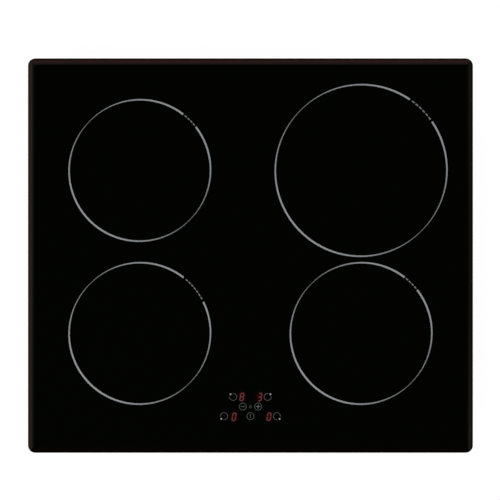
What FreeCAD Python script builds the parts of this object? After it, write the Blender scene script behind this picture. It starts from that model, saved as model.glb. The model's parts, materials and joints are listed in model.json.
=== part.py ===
import FreeCAD, Part
import math
import os
import re

import Sketcher

# Built-in induction hob with four cooking zones.  A facetted glass plate is bonded to a steel
# frame, which is screwed into a sheet-metal pan.  Inside the pan stand the power boards with
# their heatsinks and fans, two plates with four sprung coils, the sprung touch-control unit and
# the terminal box for the supply cable.
#
# Millimetres.  X runs from left to right, Y from front to rear and Z up.  The origin lies under
# the middle of the glass, on the underside of the pan.

SIZES = {
    # Glass plate: outline, corner, and the ground facet with its softer inner blend.
    "glass_width": 590,
    "glass_depth": 523,
    "glass_thickness": 4,
    "glass_corner": 10,
    "glass_arris": 0.4,
    "facet_width": 6,
    "facet_drop": 1.55,
    "facet_blend_width": 2.4,
    "facet_blend_drop": 0.35,
    # Printed marks on the glass.
    "print_thickness": 0.05,
    "ring_line": 0.62,
    "ring_swell": 1.72,
    "ring_clear_of_coil": 12.8,
    "ring_clear_of_large_coil": 14.8,
    "ring_gap_angle": 45,
    "ring_gap_sweep": 14.3,
    "long_gap_angle": 39.2,
    "long_gap_sweep": 25.5,
    "large_gap_sweep": 21,
    "gap_end_break": 1.2,
    "dash_sweep": 2.1,
    "dash_pitch": 3.1,
    "dash_line": 1.5,
    "dash_reach": 1.2,
    # Seal, bond and the frame under the glass.
    "build_in_depth": 50,
    "gasket_thickness": 2,
    "gasket_width": 10,
    "gasket_inset": 2,
    "bond_thickness": 0.8,
    "bond_width": 10,
    "frame_sheet": 1,
    "frame_leg": 14,
    "frame_drop": 14,
    "frame_clearance": 0.2,
    # Sheet-metal pan.
    "rim_overhang_sides": 19,
    "rim_overhang_ends": 19.5,
    "pan_sheet": 0.8,
    "pan_corner": 8,
    "pan_bend": 2,
    "pan_lip_gap": 0.5,
    "bead_width": 9,
    "bead_height": 1.2,
    "middle_bead_length": 250,
    "middle_bead_x": 24,
    "side_bead_length": 330,
    "side_bead_from_wall": 20,
    # Screws that hold the frame in the pan.
    "frame_screw_radius": 1.75,
    "frame_screw_length": 7,
    "frame_screw_head": 3.4,
    "frame_screw_head_height": 1.8,
    "frame_screw_below_top": 6.5,
    "frame_screw_spacing_x": 205,
    "frame_screw_spacing_y": 75,
    "screw_hole_clearance": 0.3,
    "thread_clearance": 0.05,
    "recess_width": 0.9,
    "recess_depth": 1,
    # Leaf-spring clips that grip the cut-out in the worktop.
    "clip_spacing": 300,
    "clip_width": 22,
    "clip_sheet": 0.8,
    "clip_bend_below_top": 16.5,
    "clip_bulge": 7,
    "clip_bulge_drop": 13,
    "clip_tip_drop": 25,
    "clip_tip_out": 1.6,
    "clip_foot_height": 10,
    "clip_foot_gap": 0.3,
    "clip_window_margin": 1.5,
    "clip_screw_radius": 1.45,
    "clip_screw_length": 5,
    "clip_screw_head": 2.9,
    "clip_screw_head_height": 1.2,
    # Terminal box, its hinged cover, terminals and cable gland.
    "box_width": 90,
    "box_length": 60,
    "box_under_plate": 4.2,
    "box_wall": 2,
    "box_to_pan_wall": 1.5,
    "box_stop_height": 3.4,
    "box_stop_width": 12,
    "wire_port_width": 16,
    "wire_port_height": 8,
    "wire_port_x": 30,
    "wire_port_z": 20,
    "cover_thickness": 2,
    "cover_recess": 0.3,
    "cover_clearance": 0.4,
    "cover_pin_radius": 1.2,
    "cover_pin_height": 3.8,
    "cover_pin_inset": 4.4,
    "cover_nose": 3.2,
    "cover_ear_width": 4,
    "cover_ear_radius": 2.2,
    "running_clearance": 0.05,
    "terminal_count": 6,
    "terminal_pitch": 11,
    "terminal_length": 22,
    "terminal_height": 14,
    "terminal_end": 3,
    "terminal_from_front": 14,
    "contact_width": 8,
    "contact_length": 15,
    "contact_height": 8,
    "contact_recess": 3,
    "contact_clearance": 0.1,
    "contact_screw_radius": 2.4,
    "contact_screw_height": 1.4,
    "gland_bore": 6,
    "gland_sleeve": 8.7,
    "gland_hole_clearance": 0.3,
    "gland_flange": 12,
    "gland_flange_thickness": 3,
    "gland_height": 14.5,
    "gland_nut_radius": 11.5,
    "gland_nut_thickness": 4,
    "gland_end": 1.5,
    # Board trays, power boards and what stands on them.
    "tray_border": 14,
    "tray_floor": 2,
    "tray_from_side": 38,
    "tray_behind_gap": 1,
    "tray_rib": 1.6,
    "tray_rib_height": 4,
    "post_radius": 4.8,
    "post_inset": 5.5,
    "peg_radius": 2,
    "peg_height": 1.5,
    "peg_clearance": 0.1,
    "standoff_radius": 3,
    "standoff_height": 5.2,
    "board_width": 148,
    "board_length": 240,
    "board_thickness": 1.6,
    "standoff_inset": 6,
    "heatsink_width": 58,
    "heatsink_length": 200,
    "heatsink_under_plate": 3.9,
    "heatsink_base": 5,
    "heatsink_wall": 4,
    "heatsink_off_middle": 24,
    "fin_thickness": 1.5,
    "fin_pitch": 5.5,
    "device_width": 16,
    "device_height": 17,
    "device_thickness": 5,
    "device_pitch": 46,
    "device_leg": 1.2,
    "device_leg_pitch": 5.4,
    "device_lift": 2.5,
    "capacitor_width": 20,
    "capacitor_length": 42,
    "capacitor_height": 17,
    "capacitor_off_middle": 52,
    "capacitor_spacing": 120,
    "can_radius": 9,
    "can_height": 20,
    "can_off_middle": 32,
    "can_forward": 97,
    "choke_radius": 15,
    "choke_hole": 6,
    "choke_height": 13,
    "choke_off_middle": 50,
    "choke_behind": 8,
    "choke_foot": 1.5,
    # Radial fans.
    "fan_to_pan_wall": 11.2,
    "fan_height": 25,
    "fan_scroll": 48,
    "fan_wall": 1.6,
    "fan_duct_length": 59,
    "fan_intake": 32,
    "impeller_radius": 38,
    "impeller_gap": 2,
    "impeller_disc": 1.4,
    "impeller_ring": 2.2,
    "blade_count": 24,
    "blade_thickness": 1,
    "blade_depth": 8,
    "blade_sweep": 5,
    "hub_wall": 1.6,
    "stator_radius": 10,
    "stator_height": 9,
    "stator_gap": 0.6,
    "fan_axle_radius": 1.5,
    "fan_boss_radius": 4,
    "axle_cap_radius": 2.6,
    "axle_cap_height": 0.8,
    "axle_end_play": 0.3,
    "intake_slot": 3.5,
    "intake_pitch": 6.5,
    # Exhaust slots in the front wall.
    "exhaust_slot": 3.5,
    "exhaust_pitch": 7.5,
    "exhaust_height": 18,
    "exhaust_bottom": 10,
    "exhaust_width": 104,
    # Coil plates and coils.
    "plate_sheet": 1.5,
    "plate_inner_x": 20,
    "plate_from_side": 14,
    "plate_from_front": 54,
    "plate_from_rear": 26,
    "plate_to_support": 8,
    "spring_space": 6.5,
    "spring_radius": 4,
    "spring_wire": 0.9,
    "spring_coils": 3.5,
    "spring_seat_gap": 0.05,
    "guide_inset": 18,
    "guide_radius": 2.5,
    "guide_clearance": 0.35,
    "guide_end": 0.2,
    "zone_from_side": 148.4,
    "zone_row_spacing": 215.9,
    "zone_row_shift": 4.85,
    "coil_radius": 80,
    "large_coil_radius": 98,
    "coil_hole": 22,
    "mica_thickness": 0.5,
    "mica_overhang": 1.5,
    "winding_thickness": 3.5,
    "winding_turn": 4.4,
    "winding_groove": 0.8,
    "winding_groove_depth": 1,
    "carrier_thickness": 5,
    "carrier_rim": 3,
    "carrier_rim_gap": 0.5,
    "carrier_rim_height": 2,
    "carrier_hole": 14,
    "ferrite_width": 14,
    "ferrite_height": 4,
    "ferrite_roof": 0.8,
    "ferrite_start": 28,
    "ferrite_end_inset": 6,
    "ferrite_clearance": 0.2,
    "ferrite_count": 6,
    "large_ferrite_count": 9,
    "sensor_radius": 5,
    "sensor_foot_radius": 9,
    "sensor_foot": 2,
    # Touch-control unit.
    "control_from_front": 61.5,
    "control_board_width": 104,
    "control_board_length": 46,
    "control_board_thickness": 1.6,
    "holder_margin": 3,
    "holder_thickness": 2.4,
    "holder_band": 7,
    "control_spring_space": 6,
    "control_spring_radius": 2.8,
    "control_spring_wire": 0.6,
    "control_spring_coils": 4.5,
    "control_guide_radius": 1.6,
    "support_thickness": 2,
    "support_leg_width": 8,
    "control_guide_end": 1,
    "touch_pad_height": 6,
    "touch_pad_radius": 4.5,
    "display_width": 10,
    "display_length": 15,
    "display_height": 5,
    "segment_length": 4.2,
    "segment_width": 1.1,
    "segment_gap": 0.15,
    "segment_height": 0.3,
    # Printed control symbols: three rows of keys and the digits beside them.
    "key_ring": 4.7,
    "key_line": 0.6,
    "key_gap": 76,
    "key_dot": 1.25,
    "key_dot_reach": 5.1,
    "key_dot_turn": 45,
    "sign_length": 5.4,
    "sign_line": 0.6,
    "key_row_spacing": 12.7,
    "rear_key_x": 22.8,
    "rear_digit_x": 11.9,
    "middle_key_x": 10.2,
    "front_key_x": 35,
    "front_digit_x": 23.2,
    "front_digit_drop": 0.9,
    "lock_width": 3.8,
    "lock_height": 3.1,
    "lock_bow_radius": 1.3,
}

# Heights and faces that follow from the sizes.
PLACES = {
    "pan_width": "glass_width - 2 * rim_overhang_sides",
    "pan_length": "glass_depth - 2 * rim_overhang_ends",
    "glass_under": "build_in_depth + gasket_thickness",
    "glass_face": "glass_under + glass_thickness",
    "frame_top": "glass_under - bond_thickness",
    "frame_leg_under": "frame_top - frame_sheet",
    "frame_foot": "frame_leg_under - frame_drop",
    "frame_width": "pan_width - 2 * pan_sheet - 2 * frame_clearance",
    "frame_length": "pan_length - 2 * pan_sheet - 2 * frame_clearance",
    "frame_corner": "pan_corner - pan_sheet - frame_clearance",
    "pan_top": "build_in_depth - pan_lip_gap",
    "side_bead_x": "pan_width / 2 - side_bead_from_wall",
    "frame_screw_z": "pan_top - frame_screw_below_top",
    "winding_top": "glass_under - mica_thickness",
    "carrier_top": "winding_top - winding_thickness",
    "carrier_under": "carrier_top - carrier_thickness",
    "plate_top": "carrier_under - spring_space",
    "plate_under": "plate_top - plate_sheet",
    "coil_x": "glass_width / 2 - zone_from_side",
    "rear_coil_y": "zone_row_shift + zone_row_spacing / 2",
    "front_coil_y": "zone_row_shift - zone_row_spacing / 2",
    "plate_outer_x": "pan_width / 2 - plate_from_side",
    "plate_front_y": "plate_from_front - pan_length / 2",
    "plate_rear_y": "pan_length / 2 - plate_from_rear",
    "plate_notch_x": "holder_width / 2 + plate_to_support",
    "plate_notch_y": "control_y + holder_length / 2 + plate_to_support",
    "tray_width": "board_width + 2 * tray_border",
    "tray_length": "board_length + 2 * tray_border",
    "tray_x": "pan_width / 2 - tray_from_side - tray_width / 2",
    "tray_y": "fan_y - fan_duct_length - tray_behind_gap - tray_length / 2",
    "tray_top": "pan_sheet + tray_floor",
    "board_under": "tray_top + standoff_height",
    "board_top": "board_under + board_thickness",
    "heatsink_height": "plate_under - heatsink_under_plate - board_top",
    "heatsink_inner_x": "tray_x + heatsink_off_middle - heatsink_width / 2",
    "fan_x": "tray_x",
    "fan_y": "pan_length / 2 - pan_sheet - fan_to_pan_wall - fan_scroll",
    "fan_top": "pan_sheet + fan_height",
    "fan_ceiling": "fan_top - fan_wall",
    "impeller_bottom": "pan_sheet + fan_wall + impeller_gap",
    "impeller_top": "fan_ceiling - impeller_gap",
    "hub_bottom": "fan_ceiling - stator_height - stator_gap - hub_wall",
    "box_ceiling": "plate_under - box_under_plate - box_wall",
    "box_height": "box_ceiling - pan_sheet",
    "box_rear": "pan_length / 2 - pan_sheet - box_to_pan_wall",
    "box_inside_rear": "box_rear - box_wall",
    "box_inside_front": "box_inside_rear - box_length",
    "cover_pin_y": "box_inside_front + cover_pin_inset",
    "cover_top": "cover_recess + cover_thickness",
    "terminal_y": "box_inside_front + terminal_from_front + terminal_length / 2",
    "terminal_under": "box_ceiling - terminal_height",
    "contact_under": "terminal_under + contact_recess",
    "control_y": "control_from_front - glass_depth / 2",
    "middle_key_y": "control_y",
    "rear_key_y": "control_y + key_row_spacing",
    "front_key_y": "control_y - key_row_spacing",
    "front_digit_y": "front_key_y - front_digit_drop",
    "control_board_top": "glass_under - touch_pad_height",
    "control_board_under": "control_board_top - control_board_thickness",
    "holder_under": "control_board_under - holder_thickness",
    "support_top": "holder_under - control_spring_space",
    "support_under": "support_top - support_thickness",
    "holder_width": "control_board_width + 2 * holder_margin",
    "holder_length": "control_board_length + 2 * holder_margin",
    "control_guide_x": "control_board_width / 2 - holder_band / 2",
    "control_guide_y": "control_board_length / 2 - holder_band / 2",
    "clip_top": "pan_top - clip_bend_below_top",
    "clip_foot_bottom": "clip_top + clip_foot_gap",
    "clip_screw_z": "clip_foot_bottom + clip_foot_height / 2",
    "clip_window_top": "clip_top - clip_bulge_drop / 2",
    "clip_window_bottom": "clip_top - clip_tip_drop - clip_window_margin",
}

# Signs of the sides and rows, and the four coils: side, row, radius, ferrite bars, gap angle and gap sweep.
SIDES = {"left": -1, "right": 1}
ROWS = {"front": -1, "rear": 1}
COILS = {
    "rear_left": (-1, "rear_coil_y", "coil_radius", "ferrite_count", "ring_gap_angle",
                  "ring_gap_sweep", "ring_clear_of_coil"),
    "rear_right": (1, "rear_coil_y", "large_coil_radius", "large_ferrite_count",
                   "ring_gap_angle", "large_gap_sweep", "ring_clear_of_large_coil"),
    "front_left": (-1, "front_coil_y", "coil_radius", "ferrite_count", "long_gap_angle",
                   "long_gap_sweep", "ring_clear_of_coil"),
    "front_right": (1, "front_coil_y", "coil_radius", "ferrite_count", "ring_gap_angle",
                    "ring_gap_sweep", "ring_clear_of_coil"),
}
GUIDES_PER_COIL = 3

document = FreeCAD.newDocument("induction_hob")
sheet = document.addObject("Spreadsheet::Sheet", "Sizes")
for row, (alias, number) in enumerate(SIZES.items(), 1):
    sheet.set(f"A{row}", alias)
    sheet.set(f"B{row}", str(number))
    sheet.setAlias(f"B{row}", alias)
document.recompute()

nodes = []


# Formulas ---------------------------------------------------------------------------------

def formula(text):
    """Write out the named places and point every size at its cell."""

    def swap(word):
        name = word.group()
        if name in PLACES:
            return "(" + formula(PLACES[name]) + ")"
        if name in SIZES:
            return "Sizes." + name
        return name

    return re.sub(r"[a-z][a-z0-9_]*", swap, str(text))


def value(text):
    """The number that a formula stands for now."""
    result = sheet.evalExpression(formula(text))
    return float(getattr(result, "Value", result))


def bind(thing, setting, text):
    thing.setExpression(setting, formula(text))


def spot(thing, x=0, y=0, z=0):
    """Bind an object's place to three formulas."""
    bind(thing, "Placement.Base.x", x)
    bind(thing, "Placement.Base.y", y)
    bind(thing, "Placement.Base.z", z)


def node(thing, label):
    """Keep an object as a sub-part of the hob."""
    thing.Label = label
    nodes.append(thing)
    return thing


# Part primitives --------------------------------------------------------------------------

TURNS = {
    "+X": FreeCAD.Rotation(FreeCAD.Vector(0, 1, 0), 90),
    "-X": FreeCAD.Rotation(FreeCAD.Vector(0, 1, 0), -90),
    "+Y": FreeCAD.Rotation(FreeCAD.Vector(1, 0, 0), -90),
    "-Y": FreeCAD.Rotation(FreeCAD.Vector(1, 0, 0), 90),
    "+Z": FreeCAD.Rotation(),
}


def block(name, length, width, height, x, y, z):
    """A box centred on x and y, standing on z."""
    box = document.addObject("Part::Box", name)
    bind(box, "Length", length)
    bind(box, "Width", width)
    bind(box, "Height", height)
    spot(box, f"{x} - ({length}) / 2", f"{y} - ({width}) / 2", z)
    return box


def rod(name, radius, length, x, y, z, way="+Z"):
    """A cylinder that starts at a point and runs along a way."""
    cylinder = document.addObject("Part::Cylinder", name)
    cylinder.Placement = FreeCAD.Placement(FreeCAD.Vector(), TURNS[way])
    bind(cylinder, "Radius", radius)
    bind(cylinder, "Height", length)
    spot(cylinder, x, y, z)
    return cylinder


def sector(name, radius, height, x, y, z, start, sweep):
    """A slice of a disc, from its start angle through its sweep."""
    disc = document.addObject("Part::Cylinder", name)
    disc.Placement = FreeCAD.Placement(
        FreeCAD.Vector(), FreeCAD.Rotation(FreeCAD.Vector(0, 0, 1), value(start)))
    bind(disc, "Placement.Rotation.Angle", start)
    bind(disc, "Radius", radius)
    bind(disc, "Height", height)
    bind(disc, "Angle", sweep)
    spot(disc, x, y, z)
    return disc


def cut(name, base, *tools):
    result = document.addObject("Part::Cut", name)
    result.Base = base
    result.Tool = tools[0] if len(tools) == 1 else fuse(name + "_tools", *tools)
    return result


def fuse(name, *pieces):
    result = document.addObject("Part::MultiFuse", name)
    result.Shapes = list(pieces)
    return result


def group(label, pieces):
    """Separate solids that are kept together as one sub-part."""
    result = document.addObject("Part::Compound", label)
    result.Links = list(pieces)
    return node(result, label)


# PartDesign bodies ------------------------------------------------------------------------

def new_body(label):
    body = document.addObject("PartDesign::Body", label)
    return node(body, label)


def origin_feature(body, role):
    return next(item for item in body.Origin.OriginFeatures if item.Role == role)


def new_sketch(body, name, role="XY_Plane", offset=0):
    """A sketch on an origin plane of its body, moved along the plane's normal."""
    sketch = body.newObject("Sketcher::SketchObject", f"{body.Name}_{name}")
    sketch.AttachmentSupport = [(origin_feature(body, role), "")]
    sketch.MapMode = "FlatFace"
    bind(sketch, "AttachmentOffset.Base.z", offset)
    return sketch


def hold(sketch, geometry, point, x, y):
    """Bind a point of a sketch to two formulas."""
    for kind, text in (("DistanceX", x), ("DistanceY", y)):
        index = sketch.addConstraint(
            Sketcher.Constraint(kind, -1, 1, geometry, point, value(text)))
        bind(sketch, f"Constraints[{index}]", text)


def polygon(sketch, corners):
    """A closed outline through corners that are pairs of formulas."""
    points = [FreeCAD.Vector(value(x), value(y), 0) for x, y in corners]
    count = len(points)
    first = sketch.GeometryCount
    for index in range(count):
        sketch.addGeometry(Part.LineSegment(points[index], points[(index + 1) % count]), False)
    for index, (x, y) in enumerate(corners):
        after = first + (index + 1) % count
        sketch.addConstraint(Sketcher.Constraint("Coincident", first + index, 2, after, 1))
        hold(sketch, first + index, 1, x, y)


def rectangle(sketch, width, length, x=0, y=0):
    west = f"{x} - ({width}) / 2"
    east = f"{x} + ({width}) / 2"
    south = f"{y} - ({length}) / 2"
    north = f"{y} + ({length}) / 2"
    polygon(sketch, [(west, south), (east, south), (east, north), (west, north)])


def circle(sketch, x, y, radius):
    centre = FreeCAD.Vector(value(x), value(y), 0)
    shape = Part.Circle(centre, FreeCAD.Vector(0, 0, 1), value(radius))
    geometry = sketch.addGeometry(shape, False)
    hold(sketch, geometry, 3, x, y)
    index = sketch.addConstraint(Sketcher.Constraint("Radius", geometry, value(radius)))
    bind(sketch, f"Constraints[{index}]", radius)


def rounded(sketch, corners, radius):
    """A convex outline, listed counter-clockwise, whose arc centres are the given corners."""
    centres = [FreeCAD.Vector(value(x), value(y), 0) for x, y in corners]
    size = value(radius)
    count = len(centres)
    across = []
    for index in range(count):
        along = centres[(index + 1) % count] - centres[index]
        along.normalize()
        across.append(FreeCAD.Vector(along.y, -along.x, 0) * size)
    first = sketch.GeometryCount
    for index, centre in enumerate(centres):
        before = across[index - 1]
        after = across[index]
        middle = before + after
        if middle.Length < size / 2:
            middle = FreeCAD.Vector(before.y, -before.x, 0) * -1
        middle.normalize()
        arc = Part.Arc(centre + before, centre + middle * size, centre + after)
        line = Part.LineSegment(centre + after, centres[(index + 1) % count] + after)
        sketch.addGeometry(arc, False)
        sketch.addGeometry(line, False)
    total = 2 * count
    for index, (x, y) in enumerate(corners):
        arc = first + 2 * index
        line = arc + 1
        following = first + (2 * index + 2) % total
        sketch.addConstraint(Sketcher.Constraint("Tangent", arc, 2, line, 1))
        sketch.addConstraint(Sketcher.Constraint("Tangent", line, 2, following, 1))
        hold(sketch, arc, 3, x, y)
    number = sketch.addConstraint(Sketcher.Constraint("Radius", first, size))
    bind(sketch, f"Constraints[{number}]", radius)
    for index in range(1, count):
        sketch.addConstraint(Sketcher.Constraint("Equal", first, first + 2 * index))


def rounded_rectangle(sketch, width, length, radius):
    east = f"({width}) / 2 - ({radius})"
    north = f"({length}) / 2 - ({radius})"
    west = f"-({east})"
    south = f"-({north})"
    rounded(sketch, [(west, south), (east, south), (east, north), (west, north)], radius)


def slot(sketch, x1, y1, x2, y2, radius):
    """A slot between two centres."""
    rounded(sketch, [(x1, y1), (x2, y2)], radius)


def pad(sketch, length, both_ways=False, downwards=False):
    body = sketch.getParentGeoFeatureGroup()
    feature = body.newObject("PartDesign::Pad", sketch.Name + "_pad")
    feature.Profile = sketch
    feature.Midplane = both_ways
    feature.Reversed = downwards
    bind(feature, "Length", length)
    return feature


def pocket(sketch, length=None, upwards=False):
    """A pocket against the sketch's normal, or both ways through all without a length."""
    body = sketch.getParentGeoFeatureGroup()
    feature = body.newObject("PartDesign::Pocket", sketch.Name + "_pocket")
    feature.Profile = sketch
    if length is None:
        feature.Type = "ThroughAll"
        feature.Midplane = True
    else:
        feature.Reversed = upwards
        bind(feature, "Length", length)
    return feature


def mirror(body, name, originals):
    """Repeat features on the other side of the YZ plane."""
    feature = body.newObject("PartDesign::Mirrored", f"{body.Name}_{name}")
    feature.Originals = originals
    feature.MirrorPlane = (origin_feature(body, "YZ_Plane"), [""])
    body.Tip = feature
    return feature


def repeat_round(body, name, originals, count):
    """Repeat features around the Z axis."""
    feature = body.newObject("PartDesign::PolarPattern", f"{body.Name}_{name}")
    feature.Originals = originals
    feature.Axis = (origin_feature(body, "Z_Axis"), [""])
    feature.Angle = 360
    bind(feature, "Occurrences", count)
    body.Tip = feature
    return feature


def ease(body, kind, size, choose):
    """Fillet or chamfer the edges of the body's last feature that a test chooses."""
    document.recompute()
    base = body.Tip
    names = [f"Edge{i}" for i, edge in enumerate(base.Shape.Edges, 1) if choose(edge)]
    feature = body.newObject("PartDesign::" + kind, f"{base.Name}_{kind.lower()}")
    feature.Base = (base, names)
    bind(feature, "Radius" if kind == "Fillet" else "Size", size)
    return feature


def at_height(height):
    """A test for edges that lie flat at a height."""
    level = value(height)

    def choose(edge):
        box = edge.BoundBox
        return abs(box.ZMin - level) < 1e-3 and abs(box.ZMax - level) < 1e-3

    return choose


# Glass, print, seal and frame -------------------------------------------------------------

def make_glass_top():
    """A plate with round corners, each edge ground to a mitred facet with a softer inner one."""
    body = new_body("glass_top")
    outline = new_sketch(body, "outline", offset="glass_under")
    rounded_rectangle(outline, "glass_width", "glass_depth", "glass_corner")
    pad(outline, "glass_thickness")
    ease(body, "Chamfer", "glass_arris", at_height("glass_under"))
    for plane, half in (("XZ_Plane", "glass_width / 2"), ("YZ_Plane", "glass_depth / 2")):
        facet = new_sketch(body, f"facet_{plane[:2].lower()}", plane)
        for side in (-1, 1):
            edge = f"{side} * ({half})"
            inner = f"{side} * ({half} - facet_width - facet_blend_width)"
            outer = f"{side} * ({half} + facet_width)"
            rim = "glass_face - facet_blend_drop - facet_drop"
            polygon(facet, [
                (inner, "glass_face"),
                (f"{side} * ({half} - facet_width)", "glass_face - facet_blend_drop"),
                (edge, rim),
                (outer, rim),
                (outer, "glass_face + facet_drop"),
                (inner, "glass_face + facet_drop"),
            ])
        pocket(facet)


def print_arc(name, x, y, radius, line, start, sweep):
    """An arc of printed line about a centre."""
    outer = sector(name + "_outer", f"{radius} + {line} / 2", "print_thickness",
                   x, y, "glass_face", start, sweep)
    inner = rod(name + "_inner", f"{radius} - {line} / 2", "print_thickness",
                x, y, "glass_face")
    return cut(name, outer, inner)


def print_zone(zone):
    """The swelling ring round a coil, open at one place, with dashes across the opening."""
    side, y, coil_radius, _, gap_angle, gap_sweep, clear = COILS[zone]
    x = f"{side} * coil_x"
    radius = f"({coil_radius} + {clear})"
    shift = "ring_swell * cos(45)"
    name = "ring_" + zone
    discs = []
    for label, way in (("upper", 1), ("lower", -1)):
        discs.append(rod(f"{name}_{label}", f"{radius} + ring_line", "print_thickness",
                         f"{x} + {way} * {shift}", f"{y} + {way} * {shift}", "glass_face"))
    hole = rod(name + "_hole", radius, "print_thickness", x, y, "glass_face")
    gap = sector(name + "_gap", f"{radius} + 4 * ring_swell", "print_thickness", x, y,
                 "glass_face", f"{gap_angle} - {gap_sweep} / 2", gap_sweep)
    marks = [cut(name, fuse(name + "_discs", *discs), hole, gap)]
    room = value(f"{gap_sweep} - 2 * gap_end_break - dash_sweep")
    spaces = int(room / value("dash_pitch"))
    for number in range(spaces + 1):
        start = f"{gap_angle} + ({number} - {spaces} / 2) * dash_pitch - dash_sweep / 2"
        marks.append(print_arc(f"{name}_dash{number}", x, y, f"({radius} + dash_reach)",
                               "dash_line", start, "dash_sweep"))
    return marks


def print_bar(name, length, width, x, y):
    return block(name, length, width, "print_thickness", x, y, "glass_face")


def print_dot(name, radius, x, y):
    return rod(name, radius, "print_thickness", x, y, "glass_face")


def print_keys():
    """Zone keys with a dot at their own corner, minus, plus, lock and the power key."""
    marks = []
    for zone in COILS:
        row, hand = zone.split("_")
        angle = f"({ROWS[row]} * (90 - {SIDES[hand]} * key_dot_turn))"
        x = f"({SIDES[hand]} * {row}_key_x)"
        y = f"{row}_key_y"
        name = "key_" + zone
        marks.append(print_arc(name, x, y, "key_ring", "key_line",
                               f"{angle} + key_gap / 2", "360 - key_gap"))
        marks.append(print_dot(name + "_dot", "key_dot",
                               f"{x} + key_dot_reach * cos({angle})",
                               f"{y} + key_dot_reach * sin({angle})"))
    for name, side in (("key_minus", -1), ("key_plus", 1)):
        x = f"{side} * middle_key_x"
        marks.append(print_arc(name, x, "middle_key_y", "key_ring", "key_line", "0", "360"))
        sign = print_bar(name + "_sign", "sign_length", "sign_line", x, "middle_key_y")
        if side > 0:
            upright = print_bar(name + "_upright", "sign_line", "sign_length", x, "middle_key_y")
            sign = fuse(name + "_cross", sign, upright)
        marks.append(sign)
    marks.append(print_arc("key_power", "0", "front_key_y", "key_ring", "key_line", "0", "360"))
    marks.append(print_bar("key_power_bar", "sign_line", "sign_length", "0", "front_key_y"))
    middle = "middle_key_y - lock_bow_radius / 2"
    body = print_bar("lock_body", "lock_width", "lock_height", "0", middle)
    bow = print_arc("lock_bow", "0", f"{middle} + lock_height / 2", "lock_bow_radius",
                    "sign_line", "0", "180")
    marks.append(fuse("lock", body, bow))
    return marks


def make_glass_print():
    marks = []
    for zone in COILS:
        marks.extend(print_zone(zone))
    marks.extend(print_keys())
    group("glass_print", marks)


def make_ring(label, width, length, radius, band, bottom, thickness):
    """A flat ring of even width with round corners."""
    body = new_body(label)
    outline = new_sketch(body, "outline", offset=bottom)
    rounded_rectangle(outline, width, length, radius)
    rounded_rectangle(outline, f"{width} - 2 * {band}", f"{length} - 2 * {band}",
                      f"max({radius} - {band}; {radius} / 4)")
    pad(outline, thickness)
    return body


def make_glass_frame():
    """An angle frame: a flat leg bonded under the glass and a skirt inside the pan's wall."""
    body = make_ring("glass_frame", "frame_width", "frame_length", "frame_corner",
                     "frame_leg", "frame_leg_under", "frame_sheet")
    skirt = new_sketch(body, "skirt", offset="frame_foot")
    rounded_rectangle(skirt, "frame_width", "frame_length", "frame_corner")
    rounded_rectangle(skirt, "frame_width - 2 * frame_sheet",
                      "frame_length - 2 * frame_sheet", "frame_corner - frame_sheet")
    pad(skirt, "frame_drop")
    drill_frame_holes(body, "frame_screw_radius + thread_clearance")
    clips = new_sketch(body, "clip_screw_holes", "YZ_Plane")
    for side in (-1, 1):
        circle(clips, f"{side} * clip_spacing / 2", "clip_screw_z",
               "clip_screw_radius + thread_clearance")
    pocket(clips)


def drill_frame_holes(body, radius):
    """Holes for the frame screws, through the front and rear walls and the side walls."""
    ends = new_sketch(body, "end_holes", "XZ_Plane")
    for step in (-1, 0, 1):
        circle(ends, f"{step} * frame_screw_spacing_x", "frame_screw_z", radius)
    pocket(ends)
    sides = new_sketch(body, "side_holes", "YZ_Plane")
    for step in (-1, 1):
        circle(sides, f"{step} * frame_screw_spacing_y", "frame_screw_z", radius)
    pocket(sides)


def make_screw(name, way, x, y, z, kind):
    """A cross-recess screw whose head stands on a point and whose shank runs against the way."""
    head_radius = f"{kind}_head"
    head_height = f"{kind}_head_height"
    shank = rod(name + "_shank", f"{kind}_radius", f"{kind}_length", 0, 0, f"-({kind}_length)")
    head = rod(name + "_head", head_radius, head_height, 0, 0, 0)
    bars = []
    for label, long_way in (("recess_a", True), ("recess_b", False)):
        long_side = head_radius
        length = long_side if long_way else "recess_width"
        width = "recess_width" if long_way else long_side
        bars.append(block(f"{name}_{label}", length, width, "recess_depth", 0, 0,
                          f"{head_height} - recess_depth"))
    screw = cut(name, fuse(name + "_body", shank, head), *bars)
    screw.Placement = FreeCAD.Placement(FreeCAD.Vector(), TURNS[way])
    spot(screw, x, y, z)
    return screw


def make_frame_screws():
    screws = []
    for way, side in (("+Y", 1), ("-Y", -1)):
        for step in (-1, 0, 1):
            screws.append(make_screw(
                f"end_screw{side + 1}{step + 1}", way, f"{step} * frame_screw_spacing_x",
                f"{side} * pan_length / 2", "frame_screw_z", "frame_screw"))
    for way, side in (("+X", 1), ("-X", -1)):
        for step in (-1, 1):
            screws.append(make_screw(
                f"side_screw{side + 1}{step + 1}", way, f"{side} * pan_width / 2",
                f"{step} * frame_screw_spacing_y", "frame_screw_z", "frame_screw"))
    group("frame_screws", screws)


# Pan --------------------------------------------------------------------------------------

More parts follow.
